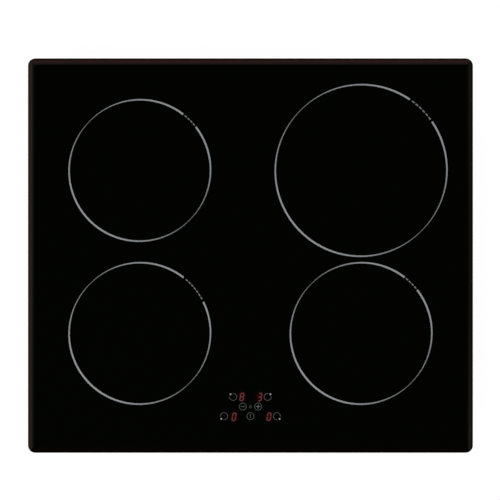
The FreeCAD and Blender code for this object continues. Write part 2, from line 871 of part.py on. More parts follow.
def make_base_pan():
    body = new_body("base_pan")
    outline = new_sketch(body, "outline")
    rounded_rectangle(outline, "pan_width", "pan_length", "pan_corner")
    pad(outline, "pan_top")
    ease(body, "Fillet", "pan_bend", at_height(0))
    inside = new_sketch(body, "inside", offset="pan_top")
    rounded_rectangle(inside, "pan_width - 2 * pan_sheet", "pan_length - 2 * pan_sheet",
                      "pan_corner - pan_sheet")
    pocket(inside, "pan_top - pan_sheet")
    ease(body, "Fillet", "pan_bend - pan_sheet", at_height("pan_sheet"))

    add_pan_beads(body)
    cuts = [cut_intake_slots(body), cut_exhaust_slots(body), cut_clip_openings(body)]
    mirror(body, "left_cuts", cuts)

    hatch = new_sketch(body, "hatch", offset="pan_sheet")
    rectangle(hatch, "box_width", "box_length", 0, "box_inside_rear - box_length / 2")
    pocket(hatch, "pan_sheet")
    gland = new_sketch(body, "gland_hole", "XZ_Plane", "-(box_rear)")
    circle(gland, 0, "gland_height", "gland_sleeve + gland_hole_clearance")
    pocket(gland, "box_to_pan_wall + 2 * pan_sheet")
    drill_frame_holes(body, "frame_screw_radius + screw_hole_clearance")


def add_pan_beads(body):
    """Stiffening beads pressed up into the floor."""
    runs = (("middle_bead_x", "middle_bead_length"), ("side_bead_x", "side_bead_length"))
    raised = new_sketch(body, "beads", offset="pan_sheet")
    pressed = new_sketch(body, "bead_hollows")
    for x, length in runs:
        end = f"({length} - bead_width) / 2"
        for side in (-1, 1):
            place = f"{side} * {x}"
            slot(raised, place, f"-({end})", place, end, "bead_width / 2")
            slot(pressed, place, f"-({end})", place, end, "bead_width / 2 - pan_sheet")
    pad(raised, "bead_height")
    pocket(pressed, "bead_height", upwards=True)


def cut_intake_slots(body):
    """Slots that fill the round intake under the right-hand fan."""
    sketch = new_sketch(body, "intake", offset="pan_sheet")
    steps = int(value("(fan_intake - intake_slot) / intake_pitch"))
    for step in range(-steps, steps + 1):
        x = f"fan_x + {step} * intake_pitch"
        reach = f"sqrt(fan_intake ^ 2 - ({step} * intake_pitch) ^ 2) - intake_slot"
        slot(sketch, x, f"fan_y - ({reach})", x, f"fan_y + {reach}", "intake_slot / 2")
    return pocket(sketch, "pan_sheet")


def cut_exhaust_slots(body):
    """Upright slots in the right half of the front wall."""
    sketch = new_sketch(body, "exhaust", "XZ_Plane", "pan_length / 2")
    count = int(value("exhaust_width / exhaust_pitch")) + 1
    low = "exhaust_bottom + exhaust_slot / 2"
    high = "exhaust_bottom + exhaust_height - exhaust_slot / 2"
    for number in range(count):
        x = f"tray_x - exhaust_width / 2 + {number} * exhaust_pitch"
        slot(sketch, x, low, x, high, "exhaust_slot / 2")
    return pocket(sketch, "2 * pan_sheet")


def cut_clip_openings(body):
    """Windows for the clip tips, and the clip-screw holes, in the right-hand wall."""
    sketch = new_sketch(body, "clip_openings", "YZ_Plane", "pan_width / 2")
    height = "clip_window_top - clip_window_bottom"
    middle = "(clip_window_top + clip_window_bottom) / 2"
    for side in (-1, 1):
        y = f"{side} * clip_spacing / 2"
        rectangle(sketch, "clip_width + 2 * clip_window_margin", height, y, middle)
        circle(sketch, y, "clip_screw_z", "clip_screw_radius + thread_clearance")
    return pocket(sketch, "2 * pan_sheet")


# Worktop clips ----------------------------------------------------------------------------

def make_worktop_clip(side_name, end_name):
    """The sprung leaf of a clip: out and down to its bulge, then back into the window."""
    side = SIDES[side_name]
    end = -1 if end_name == "front" else 1
    body = new_body(f"worktop_clip_{side_name}_{end_name}")
    profile = new_sketch(body, "profile", "XZ_Plane", f"{-end} * clip_spacing / 2")
    wall = f"{side} * pan_width / 2"
    outer = [
        (f"{wall} + {side} * clip_sheet", "clip_top"),
        (f"{wall} + {side} * clip_bulge", "clip_top - clip_bulge_drop"),
        (f"{wall} + {side} * clip_tip_out", "clip_top - clip_tip_drop"),
    ]
    inner = [(f"{x} - {side} * clip_sheet", z) for x, z in reversed(outer)]
    polygon(profile, outer + inner)
    pad(profile, "clip_width", both_ways=True)
    bulge = value("clip_top - clip_bulge_drop")
    ease(body, "Fillet", "2 * clip_sheet", lambda edge: edge.BoundBox.ZLength < 1e-3
         and abs(edge.BoundBox.ZMin - bulge) < 1e-3)


def make_clip_feet():
    """The flat upper ends of the clips, screwed to the pan's side walls."""
    feet = []
    screws = []
    for side_name, side in SIDES.items():
        way = "+X" if side > 0 else "-X"
        for end_name, end in (("front", -1), ("rear", 1)):
            name = f"clip_foot_{side_name}_{end_name}"
            x = f"{side} * (pan_width + clip_sheet) / 2"
            y = f"{end} * clip_spacing / 2"
            plate = block(name + "_plate", "clip_sheet", "clip_width", "clip_foot_height",
                          x, y, "clip_foot_bottom")
            hole = rod(name + "_hole", "clip_screw_radius + thread_clearance", "2 * clip_sheet",
                       f"{side} * (pan_width / 2 - clip_sheet / 2)", y, "clip_screw_z", way)
            feet.append(cut(name, plate, hole))
            screws.append(make_screw(
                f"clip_screw_{side_name}_{end_name}", way,
                f"{side} * (pan_width / 2 + clip_sheet)", y, "clip_screw_z", "clip_screw"))
    group("clip_feet", feet)
    group("clip_screws", screws)


# Terminal box -----------------------------------------------------------------------------

def make_terminal_box():
    """An open-bottomed box over the hatch, with ports for the cable and the inner wires."""
    body = new_body("terminal_box")
    middle = "box_inside_rear - box_length / 2"
    outline = new_sketch(body, "outline", offset="pan_sheet")
    rectangle(outline, "box_width + 2 * box_wall", "box_length + 2 * box_wall", 0, middle)
    pad(outline, "box_height + box_wall")
    inside = new_sketch(body, "inside", offset="pan_sheet")
    rectangle(inside, "box_width", "box_length", 0, middle)
    pocket(inside, "box_height", upwards=True)
    stops = new_sketch(body, "stops", offset="cover_top + cover_recess")
    for side in (-1, 1):
        rectangle(stops, "box_stop_width", "box_wall",
                  f"{side} * (box_width - box_stop_width) / 2", "box_inside_rear - box_wall / 2")
    pad(stops, "box_stop_height")
    pins = new_sketch(body, "pin_holes", "YZ_Plane")
    circle(pins, "cover_pin_y", "cover_pin_height", "cover_pin_radius + running_clearance")
    pocket(pins)
    gland = new_sketch(body, "gland_hole", "XZ_Plane", "-(box_inside_rear) + box_wall")
    circle(gland, 0, "gland_height", "gland_sleeve + gland_hole_clearance")
    pocket(gland, "3 * box_wall")
    ports = new_sketch(body, "wire_ports", "XZ_Plane", "-(box_inside_front) + 2 * box_wall")
    for side in (-1, 1):
        rectangle(ports, "wire_port_width", "wire_port_height", f"{side} * wire_port_x",
                  "wire_port_z")
    pocket(ports, "3 * box_wall")


def make_terminal_cover():
    """A cover in the hatch, with a chamfered nose and two ears that carry its hinge pins."""
    body = new_body("terminal_cover")
    profile = new_sketch(body, "profile", "YZ_Plane")
    drop = "cover_pin_height - cover_recess"
    nose = f"cover_pin_y - cover_nose"
    toe = f"cover_pin_y - cover_nose + {drop} - cover_thickness"
    rear = "box_inside_rear - cover_clearance"
    polygon(profile, [
        (toe, "cover_recess"),
        (rear, "cover_recess"),
        (rear, "cover_top"),
        (nose, "cover_top"),
        (nose, "cover_recess + cover_thickness / 2"),
    ])
    pad(profile, "box_width - 2 * cover_clearance", both_ways=True)
    ear_middle = "(box_width - 2 * cover_clearance - cover_ear_width) / 2"
    ears = []
    for name, side in (("right", 1), ("left", -1)):
        face = f"({ear_middle} + cover_ear_width / 2)"
        inner = f"{side} * ({ear_middle} - cover_ear_width / 2)"
        ear = new_sketch(body, f"ear_{name}", "YZ_Plane", inner)
        reach = "cover_ear_radius"
        polygon(ear, [
            (f"cover_pin_y - {reach}", "cover_top"),
            (f"cover_pin_y + {reach}", "cover_top"),
            (f"cover_pin_y + {reach}", f"cover_pin_height + {reach} / 2"),
            (f"cover_pin_y + {reach} / 2", f"cover_pin_height + {reach}"),
            (f"cover_pin_y - {reach} / 2", f"cover_pin_height + {reach}"),
            (f"cover_pin_y - {reach}", f"cover_pin_height + {reach} / 2"),
        ])
        ears.append(pad(ear, "cover_ear_width", downwards=side < 0))
        pin = new_sketch(body, f"pin_{name}", "YZ_Plane", f"{side} * {face}")
        circle(pin, "cover_pin_y", "cover_pin_height", "cover_pin_radius")
        pad(pin, "cover_clearance + box_wall", downwards=side < 0)
    rib_count = 3
    for number in range(rib_count):
        rib = new_sketch(body, f"rib{number}", offset="cover_top")
        place = f"cover_pin_y + ({number} + 1) * (box_length - 4 * cover_pin_inset) / {rib_count}"
        rectangle(rib, "box_width * 0.8", "cover_thickness / 2", 0, place)
        pad(rib, "cover_thickness / 2")


def make_terminals():
    """A block of screw terminals under the box's ceiling, with a brass clamp in each way."""
    body = new_body("terminal_block")
    outline = new_sketch(body, "outline", offset="terminal_under")
    width = "terminal_count * terminal_pitch + 2 * terminal_end"
    rectangle(outline, width, "terminal_length", 0, "terminal_y")
    pad(outline, "terminal_height")
    chambers = new_sketch(body, "chambers", offset="terminal_under")
    clamps = []
    count = int(value("terminal_count"))
    for number in range(count):
        x = f"({number} - (terminal_count - 1) / 2) * terminal_pitch"
        rectangle(chambers, "contact_width + 2 * contact_clearance",
                  "contact_length + 2 * contact_clearance", x, "terminal_y")
        clamp = block(f"clamp{number}", "contact_width", "contact_length", "contact_height",
                      x, "terminal_y", "contact_under")
        screw = rod(f"clamp_screw{number}", "contact_screw_radius", "contact_screw_height",
                    x, "terminal_y", "contact_under - contact_screw_height")
        clamps.append(fuse(f"contact{number}", clamp, screw))
    pocket(chambers, "contact_recess + contact_height", upwards=True)
    group("terminal_contacts", clamps)


def make_cable_gland():
    """A flanged sleeve through the rear walls of pan and box, held by a nut inside the box."""
    flange_y = "pan_length / 2"
    end_y = "box_inside_rear - gland_nut_thickness - gland_end"
    length = f"{flange_y} + gland_flange_thickness - ({end_y})"
    sleeve = rod("gland_sleeve_body", "gland_sleeve", length, 0, end_y, "gland_height", "+Y")
    flange = rod("gland_flange_disc", "gland_flange", "gland_flange_thickness", 0, flange_y,
                 "gland_height", "+Y")
    ease_flange = document.addObject("Part::Chamfer", "gland_flange_eased")
    ease_flange.Base = flange
    document.recompute()
    rim = flange.Shape.Edges
    outer = max(range(len(rim)), key=lambda i: rim[i].BoundBox.YMin)
    ease_flange.Edges = [(outer + 1, value("gland_flange_thickness / 3"),
                          value("gland_flange_thickness / 3"))]
    bore = rod("gland_bore_hole", "gland_bore", length, 0, end_y, "gland_height", "+Y")
    node(cut("cable_gland", fuse("gland_solid", sleeve, ease_flange), bore), "cable_gland")

    nut = document.addObject("Part::Prism", "gland_nut_prism")
    nut.Polygon = 6
    nut.Placement = FreeCAD.Placement(FreeCAD.Vector(), TURNS["+Y"])
    bind(nut, "Circumradius", "gland_nut_radius")
    bind(nut, "Height", "gland_nut_thickness")
    spot(nut, 0, "box_inside_rear - gland_nut_thickness", "gland_height")
    thread = rod("gland_nut_bore", "gland_sleeve + thread_clearance", "gland_nut_thickness",
                 0, "box_inside_rear - gland_nut_thickness", "gland_height", "+Y")
    node(cut("gland_nut", nut, thread), "gland_nut")


# Electronics ------------------------------------------------------------------------------

def corners_of(width, length, inset, x, y):
    """The four corner points of a rectangle, moved in from its edges."""
    points = []
    for across in (-1, 1):
        for along in (-1, 1):
            points.append((f"{x} + {across} * ({width} / 2 - {inset})",
                           f"{y} + {along} * ({length} / 2 - {inset})"))
    return points


def make_board_trays():
    """Plastic trays on the pan's floor whose posts carry the coil plates."""
    trays = []
    for name, side in SIDES.items():
        x = f"{side} * tray_x"
        pieces = [block(f"tray_floor_{name}", "tray_width", "tray_length", "tray_floor",
                        x, "tray_y", "pan_sheet")]
        for across in (-1, 1):
            pieces.append(block(
                f"tray_rib_{name}{across + 1}", "tray_rib", "tray_length", "tray_rib_height",
                f"{x} + {across} * (tray_width - tray_rib) / 2", "tray_y", "tray_top"))
        posts = corners_of("tray_width", "tray_length", "post_inset", x, "tray_y")
        for number, (post_x, post_y) in enumerate(posts):
            pieces.append(rod(f"post_{name}{number}", "post_radius", "plate_under - tray_top",
                              post_x, post_y, "tray_top"))
            pieces.append(rod(f"peg_{name}{number}", "peg_radius", "plate_sheet + peg_height",
                              post_x, post_y, "plate_under"))
        studs = corners_of("board_width", "board_length", "standoff_inset", x, "tray_y")
        for number, (stud_x, stud_y) in enumerate(studs):
            pieces.append(rod(f"standoff_{name}{number}", "standoff_radius", "standoff_height",
                              stud_x, stud_y, "tray_top"))
        trays.append(fuse(f"board_tray_{name}", *pieces))
    group("board_trays", trays)


def make_power_boards():
    boards = []
    for name, side in SIDES.items():
        boards.append(block(f"power_board_{name}", "board_width", "board_length",
                            "board_thickness", f"{side} * tray_x", "tray_y", "board_under"))
    group("power_boards", boards)


def make_heatsink(name):
    """An extruded heatsink: base, one thick wall for the devices, and fins."""
    side = SIDES[name]
    body = new_body(f"heatsink_{name}")
    wall_x = f"{side} * heatsink_inner_x"
    far_x = f"{side} * (heatsink_inner_x + heatsink_width)"
    top = "board_top + heatsink_height"
    base_top = "board_top + heatsink_base"
    inner_x = f"{side} * (heatsink_inner_x + heatsink_wall)"
    rear = "-(tray_y + heatsink_length / 2)"
    profile = new_sketch(body, "profile", "XZ_Plane", rear)
    polygon(profile, [(wall_x, "board_top"), (far_x, "board_top"), (far_x, base_top),
                      (inner_x, base_top), (inner_x, top), (wall_x, top)])
    pad(profile, "heatsink_length")
    fins = new_sketch(body, "fins", "XZ_Plane", rear)
    count = int(value("(heatsink_width - heatsink_wall - fin_thickness / 2) / fin_pitch"))
    for number in range(count):
        x = f"{side} * (heatsink_inner_x + heatsink_wall + ({number} + 0.9) * fin_pitch)"
        rectangle(fins, "fin_thickness", "heatsink_height - heatsink_base", x,
                  f"({base_top} + {top}) / 2")
    pad(fins, "heatsink_length")


def make_power_devices():
    """Power transistors clamped against the thick wall of each heatsink."""
    devices = []
    for name, side in SIDES.items():
        x = f"{side} * (heatsink_inner_x - device_thickness / 2)"
        for number in range(4):
            y = f"tray_y + ({number} - 1.5) * device_pitch"
            label = f"device_{name}{number}"
            pieces = [block(label + "_case", "device_thickness", "device_width",
                            "device_height", x, y, "board_top + device_lift")]
            for leg in (-1, 0, 1):
                pieces.append(block(f"{label}_leg{leg + 1}", "device_leg", "device_leg",
                                    "device_lift", x, f"{y} + {leg} * device_leg_pitch",
                                    "board_top"))
            devices.append(fuse(label, *pieces))
    group("power_devices", devices)


def make_board_parts():
    """Film capacitors, electrolytic cans and filter chokes."""
    capacitors = []
    chokes = []
    for name, side in SIDES.items():
        for step in (-1, 1):
            capacitors.append(block(
                f"film_capacitor_{name}{step + 1}", "capacitor_width", "capacitor_length",
                "capacitor_height", f"{side} * (tray_x - capacitor_off_middle)",
                f"tray_y + {step} * capacitor_spacing / 2", "board_top"))
        capacitors.append(rod(f"can_{name}", "can_radius", "can_height",
                              f"{side} * (tray_x - can_off_middle)", "tray_y + can_forward",
                              "board_top"))
        x = f"{side} * (tray_x - choke_off_middle)"
        y = "tray_y - choke_behind"
        foot = rod(f"choke_foot_{name}", "choke_radius", "choke_foot", x, y, "board_top")
        core = rod(f"choke_core_{name}", "choke_radius", "choke_height", x, y,
                   "board_top + choke_foot")
        hole = rod(f"choke_hole_{name}", "choke_hole", "choke_height", x, y,
                   "board_top + choke_foot")
        chokes.append(fuse(f"choke_{name}", foot, cut(f"choke_ring_{name}", core, hole)))
    group("board_capacitors", capacitors)
    group("board_chokes", chokes)


# Fans -------------------------------------------------------------------------------------

def make_fan_housing(name):
    """A scroll with a duct to the front, a round intake below and a closed top."""
    side = SIDES[name]
    body = new_body(f"fan_housing_{name}")
    x = f"{side} * fan_x"
    half = "fan_scroll / 2"
    scroll = new_sketch(body, "scroll", offset="pan_sheet")
    circle(scroll, x, "fan_y", "fan_scroll")
    pad(scroll, "fan_height")
    duct = new_sketch(body, "duct", offset="pan_sheet")
    rectangle(duct, "fan_scroll", "fan_duct_length", f"{x} + {side} * {half}",
              "fan_y - fan_duct_length / 2")
    pad(duct, "fan_height")
    hollow = new_sketch(body, "hollow", offset="fan_ceiling")
    circle(hollow, x, "fan_y", "fan_scroll - fan_wall")
    pocket(hollow, "fan_height - 2 * fan_wall")
    channel = new_sketch(body, "channel", offset="fan_ceiling")
    rectangle(channel, "fan_scroll - 2 * fan_wall", "fan_duct_length",
              f"{x} + {side} * {half}", "fan_y - fan_duct_length / 2")
    pocket(channel, "fan_height - 2 * fan_wall")
    intake = new_sketch(body, "intake", offset="pan_sheet + fan_wall")
    circle(intake, x, "fan_y", "fan_intake")
    pocket(intake, "fan_wall")


def make_fan_impeller(name):
    """A cup over the motor, a disc, a ring of swept blades and a boss on the fixed axle."""
    side = SIDES[name]
    body = new_body(f"fan_impeller_{name}")
    spot(body, f"{side} * fan_x", "fan_y", 0)
    cup = "stator_radius + stator_gap + hub_wall"
    disc = new_sketch(body, "disc", offset="impeller_top - impeller_disc")
    circle(disc, 0, 0, "impeller_radius")
    circle(disc, 0, 0, "stator_radius + stator_gap")
    pad(disc, "impeller_disc")
    wall = new_sketch(body, "cup", offset="hub_bottom")
    circle(wall, 0, 0, cup)
    circle(wall, 0, 0, "stator_radius + stator_gap")
    pad(wall, "impeller_top - hub_bottom")
    floor = new_sketch(body, "cup_floor", offset="hub_bottom")
    circle(floor, 0, 0, cup)
    circle(floor, 0, 0, "fan_axle_radius + running_clearance")
    pad(floor, "hub_wall")
    boss = new_sketch(body, "boss", offset="hub_bottom")
    circle(boss, 0, 0, "fan_boss_radius")
    circle(boss, 0, 0, "fan_axle_radius + running_clearance")
    pad(boss, "2 * hub_wall", downwards=True)
    ring = new_sketch(body, "ring", offset="impeller_bottom")
    circle(ring, 0, 0, "impeller_radius")
    circle(ring, 0, 0, "impeller_radius - impeller_ring")
    pad(ring, "blade_thickness")
    blade = new_sketch(body, "blade", offset="impeller_bottom")
    tip = "impeller_radius - blade_thickness"
    slot(blade, f"{tip} - blade_depth", f"{side} * blade_sweep", tip, 0, "blade_thickness / 2")
    one = pad(blade, "impeller_top - impeller_bottom")
    repeat_round(body, "blades", [one], "blade_count")


def make_fan_motors():
    """The fixed half of each motor: a stator on the housing's ceiling and an axle with a cap."""
    motors = []
    for name, side in SIDES.items():
        x = f"{side} * fan_x"
        boss_end = "hub_bottom - 2 * hub_wall"
        cap_top = f"{boss_end} - axle_end_play"
        stator = rod(f"stator_{name}", "stator_radius", "stator_height", x, "fan_y",
                     "fan_ceiling - stator_height")
        axle = rod(f"axle_{name}", "fan_axle_radius", f"fan_ceiling - ({cap_top})", x, "fan_y",
                   cap_top)
        cap = rod(f"axle_cap_{name}", "axle_cap_radius", "axle_cap_height", x, "fan_y",
                  f"{cap_top} - axle_cap_height")
        motors.append(fuse(f"fan_motor_{name}", stator, axle, cap))
    group("fan_motors", motors)


# Coils ------------------------------------------------------------------------------------

def guide_point(zone, number):
    """The place of one of a coil's guide pins, between two ferrite bars."""
    side, y, radius, bars, *_ = COILS[zone]
    angle = f"180 / {bars} + {number} * 360 / {GUIDES_PER_COIL}"
    reach = f"({radius} - guide_inset)"
    return f"{side} * coil_x + {reach} * cos({angle})", f"{y} + {reach} * sin({angle})"


def make_coil_plate(name):
    """A sheet that carries two coils, notched beside the control unit."""
    side = SIDES[name]
    body = new_body(f"coil_plate_{name}")
    outline = new_sketch(body, "outline", offset="plate_under")
    inner = f"{side} * plate_inner_x"
    outer = f"{side} * plate_outer_x"
    notch = f"{side} * plate_notch_x"
    polygon(outline, [(notch, "plate_front_y"), (outer, "plate_front_y"),
                      (outer, "plate_rear_y"), (inner, "plate_rear_y"),
                      (inner, "plate_notch_y"), (notch, "plate_notch_y")])
    pad(outline, "plate_sheet")
    holes = new_sketch(body, "guide_holes", offset="plate_top")
    for zone in (f"rear_{name}", f"front_{name}"):
        for number in range(GUIDES_PER_COIL):
            x, y = guide_point(zone, number)
            circle(holes, x, y, "guide_radius + guide_clearance")
    pocket(holes, "plate_sheet")
    pegs = new_sketch(body, "peg_holes", offset="plate_top")
    for x, y in corners_of("tray_width", "tray_length", "post_inset", f"{side} * tray_x",
                           "tray_y"):
        circle(pegs, x, y, "peg_radius + peg_clearance")
    pocket(pegs, "plate_sheet")


def make_mica(zone):
    side, y, radius, *_ = COILS[zone]
    body = new_body(f"coil_mica_{zone}")
    spot(body, f"{side} * coil_x", y, 0)
    sheet_outline = new_sketch(body, "outline", offset="winding_top")
    circle(sheet_outline, 0, 0, f"{radius} + mica_overhang")
    circle(sheet_outline, 0, 0, "carrier_hole")
    pad(sheet_outline, "mica_thickness")


def make_winding(zone):
    """A flat winding, grooved between its turns."""
    side, y, radius, *_ = COILS[zone]
    body = new_body(f"coil_winding_{zone}")
    spot(body, f"{side} * coil_x", y, 0)
    outline = new_sketch(body, "outline", offset="carrier_top")
    circle(outline, 0, 0, radius)
    circle(outline, 0, 0, "coil_hole")
    pad(outline, "winding_thickness")
    grooves = new_sketch(body, "grooves", offset="winding_top")
    turns = int(value(f"({radius} - coil_hole) / winding_turn"))
    for number in range(1, turns):
        middle = f"coil_hole + {number} * ({radius} - coil_hole) / {turns}"
        circle(grooves, 0, 0, f"{middle} - winding_groove / 2")
        circle(grooves, 0, 0, f"{middle} + winding_groove / 2")
    pocket(grooves, "winding_groove_depth")


def make_carrier(zone):
    """The plastic disc under a winding, with ferrite slots below and guide pins."""
    side, y, radius, bars, *_ = COILS[zone]
    body = new_body(f"coil_carrier_{zone}")
    spot(body, f"{side} * coil_x", y, 0)
    disc = new_sketch(body, "disc", offset="carrier_under")
    circle(disc, 0, 0, f"{radius} + carrier_rim")
    circle(disc, 0, 0, "carrier_hole")
    pad(disc, "carrier_thickness")
    rim = new_sketch(body, "rim", offset="carrier_top")
    circle(rim, 0, 0, f"{radius} + carrier_rim")
    circle(rim, 0, 0, f"{radius} + carrier_rim_gap")
    pad(rim, "carrier_rim_height")
    pins = new_sketch(body, "pins", offset="carrier_under")
    for number in range(GUIDES_PER_COIL):
        angle = f"180 / {bars} + {number} * 360 / {GUIDES_PER_COIL}"
        circle(pins, f"({radius} - guide_inset) * cos({angle})",
               f"({radius} - guide_inset) * sin({angle})", "guide_radius")
    pad(pins, "spring_space + plate_sheet - guide_end", downwards=True)
    nest = new_sketch(body, "ferrite_slot", offset="carrier_under")
    length = f"{radius} - ferrite_end_inset - ferrite_start"
    rectangle(nest, f"{length} + 2 * ferrite_clearance", "ferrite_width + 2 * ferrite_clearance",
              f"ferrite_start + ({length}) / 2", 0)
    one = pocket(nest, "carrier_thickness - ferrite_roof", upwards=True)
    repeat_round(body, "ferrite_slots", [one], bars)


def make_ferrites(zone):
    side, y, radius, bars, *_ = COILS[zone]
    body = new_body(f"coil_ferrites_{zone}")
    spot(body, f"{side} * coil_x", y, 0)
    bar = new_sketch(body, "bar", offset="carrier_top - ferrite_roof - ferrite_height")
    length = f"{radius} - ferrite_end_inset - ferrite_start"
    rectangle(bar, length, "ferrite_width", f"ferrite_start + ({length}) / 2", 0)
    one = pad(bar, "ferrite_height")
    repeat_round(body, "bars", [one], bars)


def spring_shape(kind, space):
    """A coil spring from its lower seat: a wire swept along quarter-turn arcs that climb."""
    radius = value(f"{kind}_radius")
    wire = value(f"{kind}_wire") / 2
    rise = value(space) - 2 * wire - 2 * value("spring_seat_gap")
    quarters = int(4 * value(f"{kind}_coils"))

    def on_helix(turn):
        angle = 2 * math.pi * turn
        return FreeCAD.Vector(radius * math.cos(angle), radius * math.sin(angle),
                              rise * turn * 4 / quarters)

    path = Part.Wire([
        Part.Arc(on_helix(step / 4), on_helix(step / 4 + 1 / 8), on_helix(step / 4 + 1 / 4)).toShape()
        for step in range(quarters)])
    start = Part.Circle(FreeCAD.Vector(radius, 0, 0), FreeCAD.Vector(0, 1, 0), wire)
    return path.makePipeShell([Part.Wire(start.toShape())], True, True)


def make_spring(name, kind, space, x, y, z):
    """A Part::Feature, because a helical sweep has no simple primitive."""
    spring = document.addObject("Part::Feature", name)
    spring.Shape = spring_shape(kind, space)
    spot(spring, x, y, f"{z} + {kind}_wire / 2 + spring_seat_gap")
    return spring


def make_coil_springs(zone):
    springs = []
    for number in range(GUIDES_PER_COIL):
        x, y = guide_point(zone, number)
        springs.append(make_spring(f"coil_spring_{zone}{number}", "spring", "spring_space",
                                   x, y, "plate_top"))
    group(f"coil_springs_{zone}", springs)


def make_glass_sensors():
    """A heat sensor in the middle of each coil, standing on the plate up to the glass."""
    sensors = []
    for zone, (side, y, *_) in COILS.items():
        x = f"{side} * coil_x"
        foot = rod(f"sensor_foot_{zone}", "sensor_foot_radius", "sensor_foot", x, y,
                   "plate_top")
        stem = rod(f"sensor_stem_{zone}", "sensor_radius", "glass_under - plate_top", x, y,
                   "plate_top")
        sensors.append(fuse(f"sensor_{zone}", foot, stem))
    group("glass_sensors", sensors)


# Control unit -----------------------------------------------------------------------------

def control_guides():
    """The four guide points of the control unit."""
    points = []
    for across in (-1, 1):
        for along in (-1, 1):
            points.append((f"{across} * control_guide_x",
                           f"control_y + {along} * control_guide_y"))
    return points


def make_control_support():
    """A plastic table on the pan's floor, with a leg at each corner and guide holes."""
    top = block("support_plate", "holder_width", "holder_length", "support_thickness", 0,
                "control_y", "support_under")
    legs = []
    for number, (x, y) in enumerate(corners_of("(holder_width)", "(holder_length)",
                                               "support_leg_width / 2", 0, "control_y")):
        legs.append(block(f"support_leg{number}", "support_leg_width", "support_leg_width",
                          "support_under - pan_sheet", x, y, "pan_sheet"))
    window = block("support_window", "holder_width - 4 * support_leg_width",
                   "holder_length - 4 * support_leg_width", "support_thickness", 0,
                   "control_y", "support_under")
    holes = []
    for number, (x, y) in enumerate(control_guides()):
        holes.append(rod(f"support_hole{number}", "control_guide_radius + guide_clearance",
                         "support_top - pan_sheet", x, y, "pan_sheet"))
    node(cut("control_support", fuse("support_table", top, *legs), window, *holes),
         "control_support")


def make_control_holder():
    """The frame that holds the control board, with guide pins into the support."""
    plate = block("holder_plate", "holder_width", "holder_length", "holder_thickness", 0,
                  "control_y", "holder_under")
    window = block("holder_window", "holder_width - 2 * holder_band - 2 * holder_margin",
                   "holder_length - 2 * holder_band - 2 * holder_margin", "holder_thickness",
                   0, "control_y", "holder_under")
    outer = block("holder_lip", "holder_width", "holder_length", "control_board_thickness", 0,
                  "control_y", "control_board_under")
    inner = block("holder_nest", "control_board_width + 2 * ferrite_clearance",
                  "control_board_length + 2 * ferrite_clearance", "control_board_thickness",
                  0, "control_y", "control_board_under")
    pins = []
    for number, (x, y) in enumerate(control_guides()):
        pins.append(rod(f"holder_pin{number}", "control_guide_radius",
                        "control_spring_space + support_thickness + control_guide_end", x, y,
                        "support_under - control_guide_end"))
    frame = cut("holder_frame", plate, window)
    lip = cut("holder_wall", outer, inner)
    node(fuse("control_holder", frame, lip, *pins), "control_holder")


def make_control_board():
    board = block("control_board", "control_board_width", "control_board_length",
                  "control_board_thickness", 0, "control_y", "control_board_under")
    node(board, "control_board")


def digit_places():
    places = []
    for side in (-1, 1):
        places.append((f"{side} * rear_digit_x", "rear_key_y"))
        places.append((f"{side} * front_digit_x", "front_digit_y"))
    return places


def make_digit_displays():
    """Seven-segment display modules."""
    displays = []
    step = "(segment_length + segment_width + 2 * segment_gap)"
    bars = [(0, 0, False), (0, step, False), (0, f"-{step}", False)]
    for across in (-1, 1):
        for along in (-1, 1):
            bars.append((f"{across} * {step} / 2", f"{along} * {step} / 2", True))
    for number, (x, y) in enumerate(digit_places()):
        pieces = [block(f"display{number}_case", "display_width", "display_length",
                        "display_height", x, y, "control_board_top")]
        for index, (shift_x, shift_y, standing) in enumerate(bars):
            length = "segment_width" if standing else "segment_length"
            width = "segment_length" if standing else "segment_width"
            pieces.append(block(f"display{number}_segment{index}", length, width,
                                "segment_height", f"{x} + {shift_x}", f"{y} + {shift_y}",
                                "control_board_top + display_height"))
        displays.append(fuse(f"display{number}", *pieces))
    group("digit_displays", displays)


def key_places():
    places = [("0", "front_key_y")]
    for side in (-1, 1):
        places.append((f"{side} * rear_key_x", "rear_key_y"))
        places.append((f"{side} * front_key_x", "front_key_y"))
        places.append((f"{side} * middle_key_x", "middle_key_y"))
    return places


def make_touch_pads():
    """Conductive foam pads between the control board and the glass."""
    pads = []
    for number, (x, y) in enumerate(key_places()):
        pads.append(rod(f"touch_pad{number}", "touch_pad_radius", "touch_pad_height", x, y,
                        "control_board_top"))
    group("touch_pads", pads)


def make_control_springs():
    springs = []
    for number, (x, y) in enumerate(control_guides()):
        springs.append(make_spring(f"control_spring{number}", "control_spring",
                                   "control_spring_space", x, y, "support_top"))
    group("control_springs", springs)


# The whole hob ----------------------------------------------------------------------------

def make_hob():
    make_glass_top()
    make_glass_print()
    make_ring("rim_gasket", "(glass_width - 2 * gasket_inset)",
              "(glass_depth - 2 * gasket_inset)", "(glass_corner - gasket_inset)",
              "gasket_width", "build_in_depth", "gasket_thickness")
    make_ring("frame_bond", "frame_width", "frame_length", "frame_corner", "bond_width",
              "frame_top", "bond_thickness")
    make_glass_frame()
    make_frame_screws()
    make_base_pan()
    for side_name in SIDES:
        for end_name in ("front", "rear"):
            make_worktop_clip(side_name, end_name)
    make_clip_feet()
    make_terminal_box()
    make_terminal_cover()
    make_terminals()
    make_cable_gland()
    make_board_trays()
    make_power_boards()
    make_power_devices()
    make_board_parts()
    for name in SIDES:
        make_heatsink(name)
        make_fan_housing(name)
        make_fan_impeller(name)
        make_coil_plate(name)
    make_fan_motors()
    for zone in COILS:
        make_mica(zone)
        make_winding(zone)
        make_carrier(zone)
        make_ferrites(zone)
        make_coil_springs(zone)
    make_glass_sensors()
    make_control_support()
    make_control_holder()
    make_control_board()
    make_digit_displays()
    make_touch_pads()
    make_control_springs()


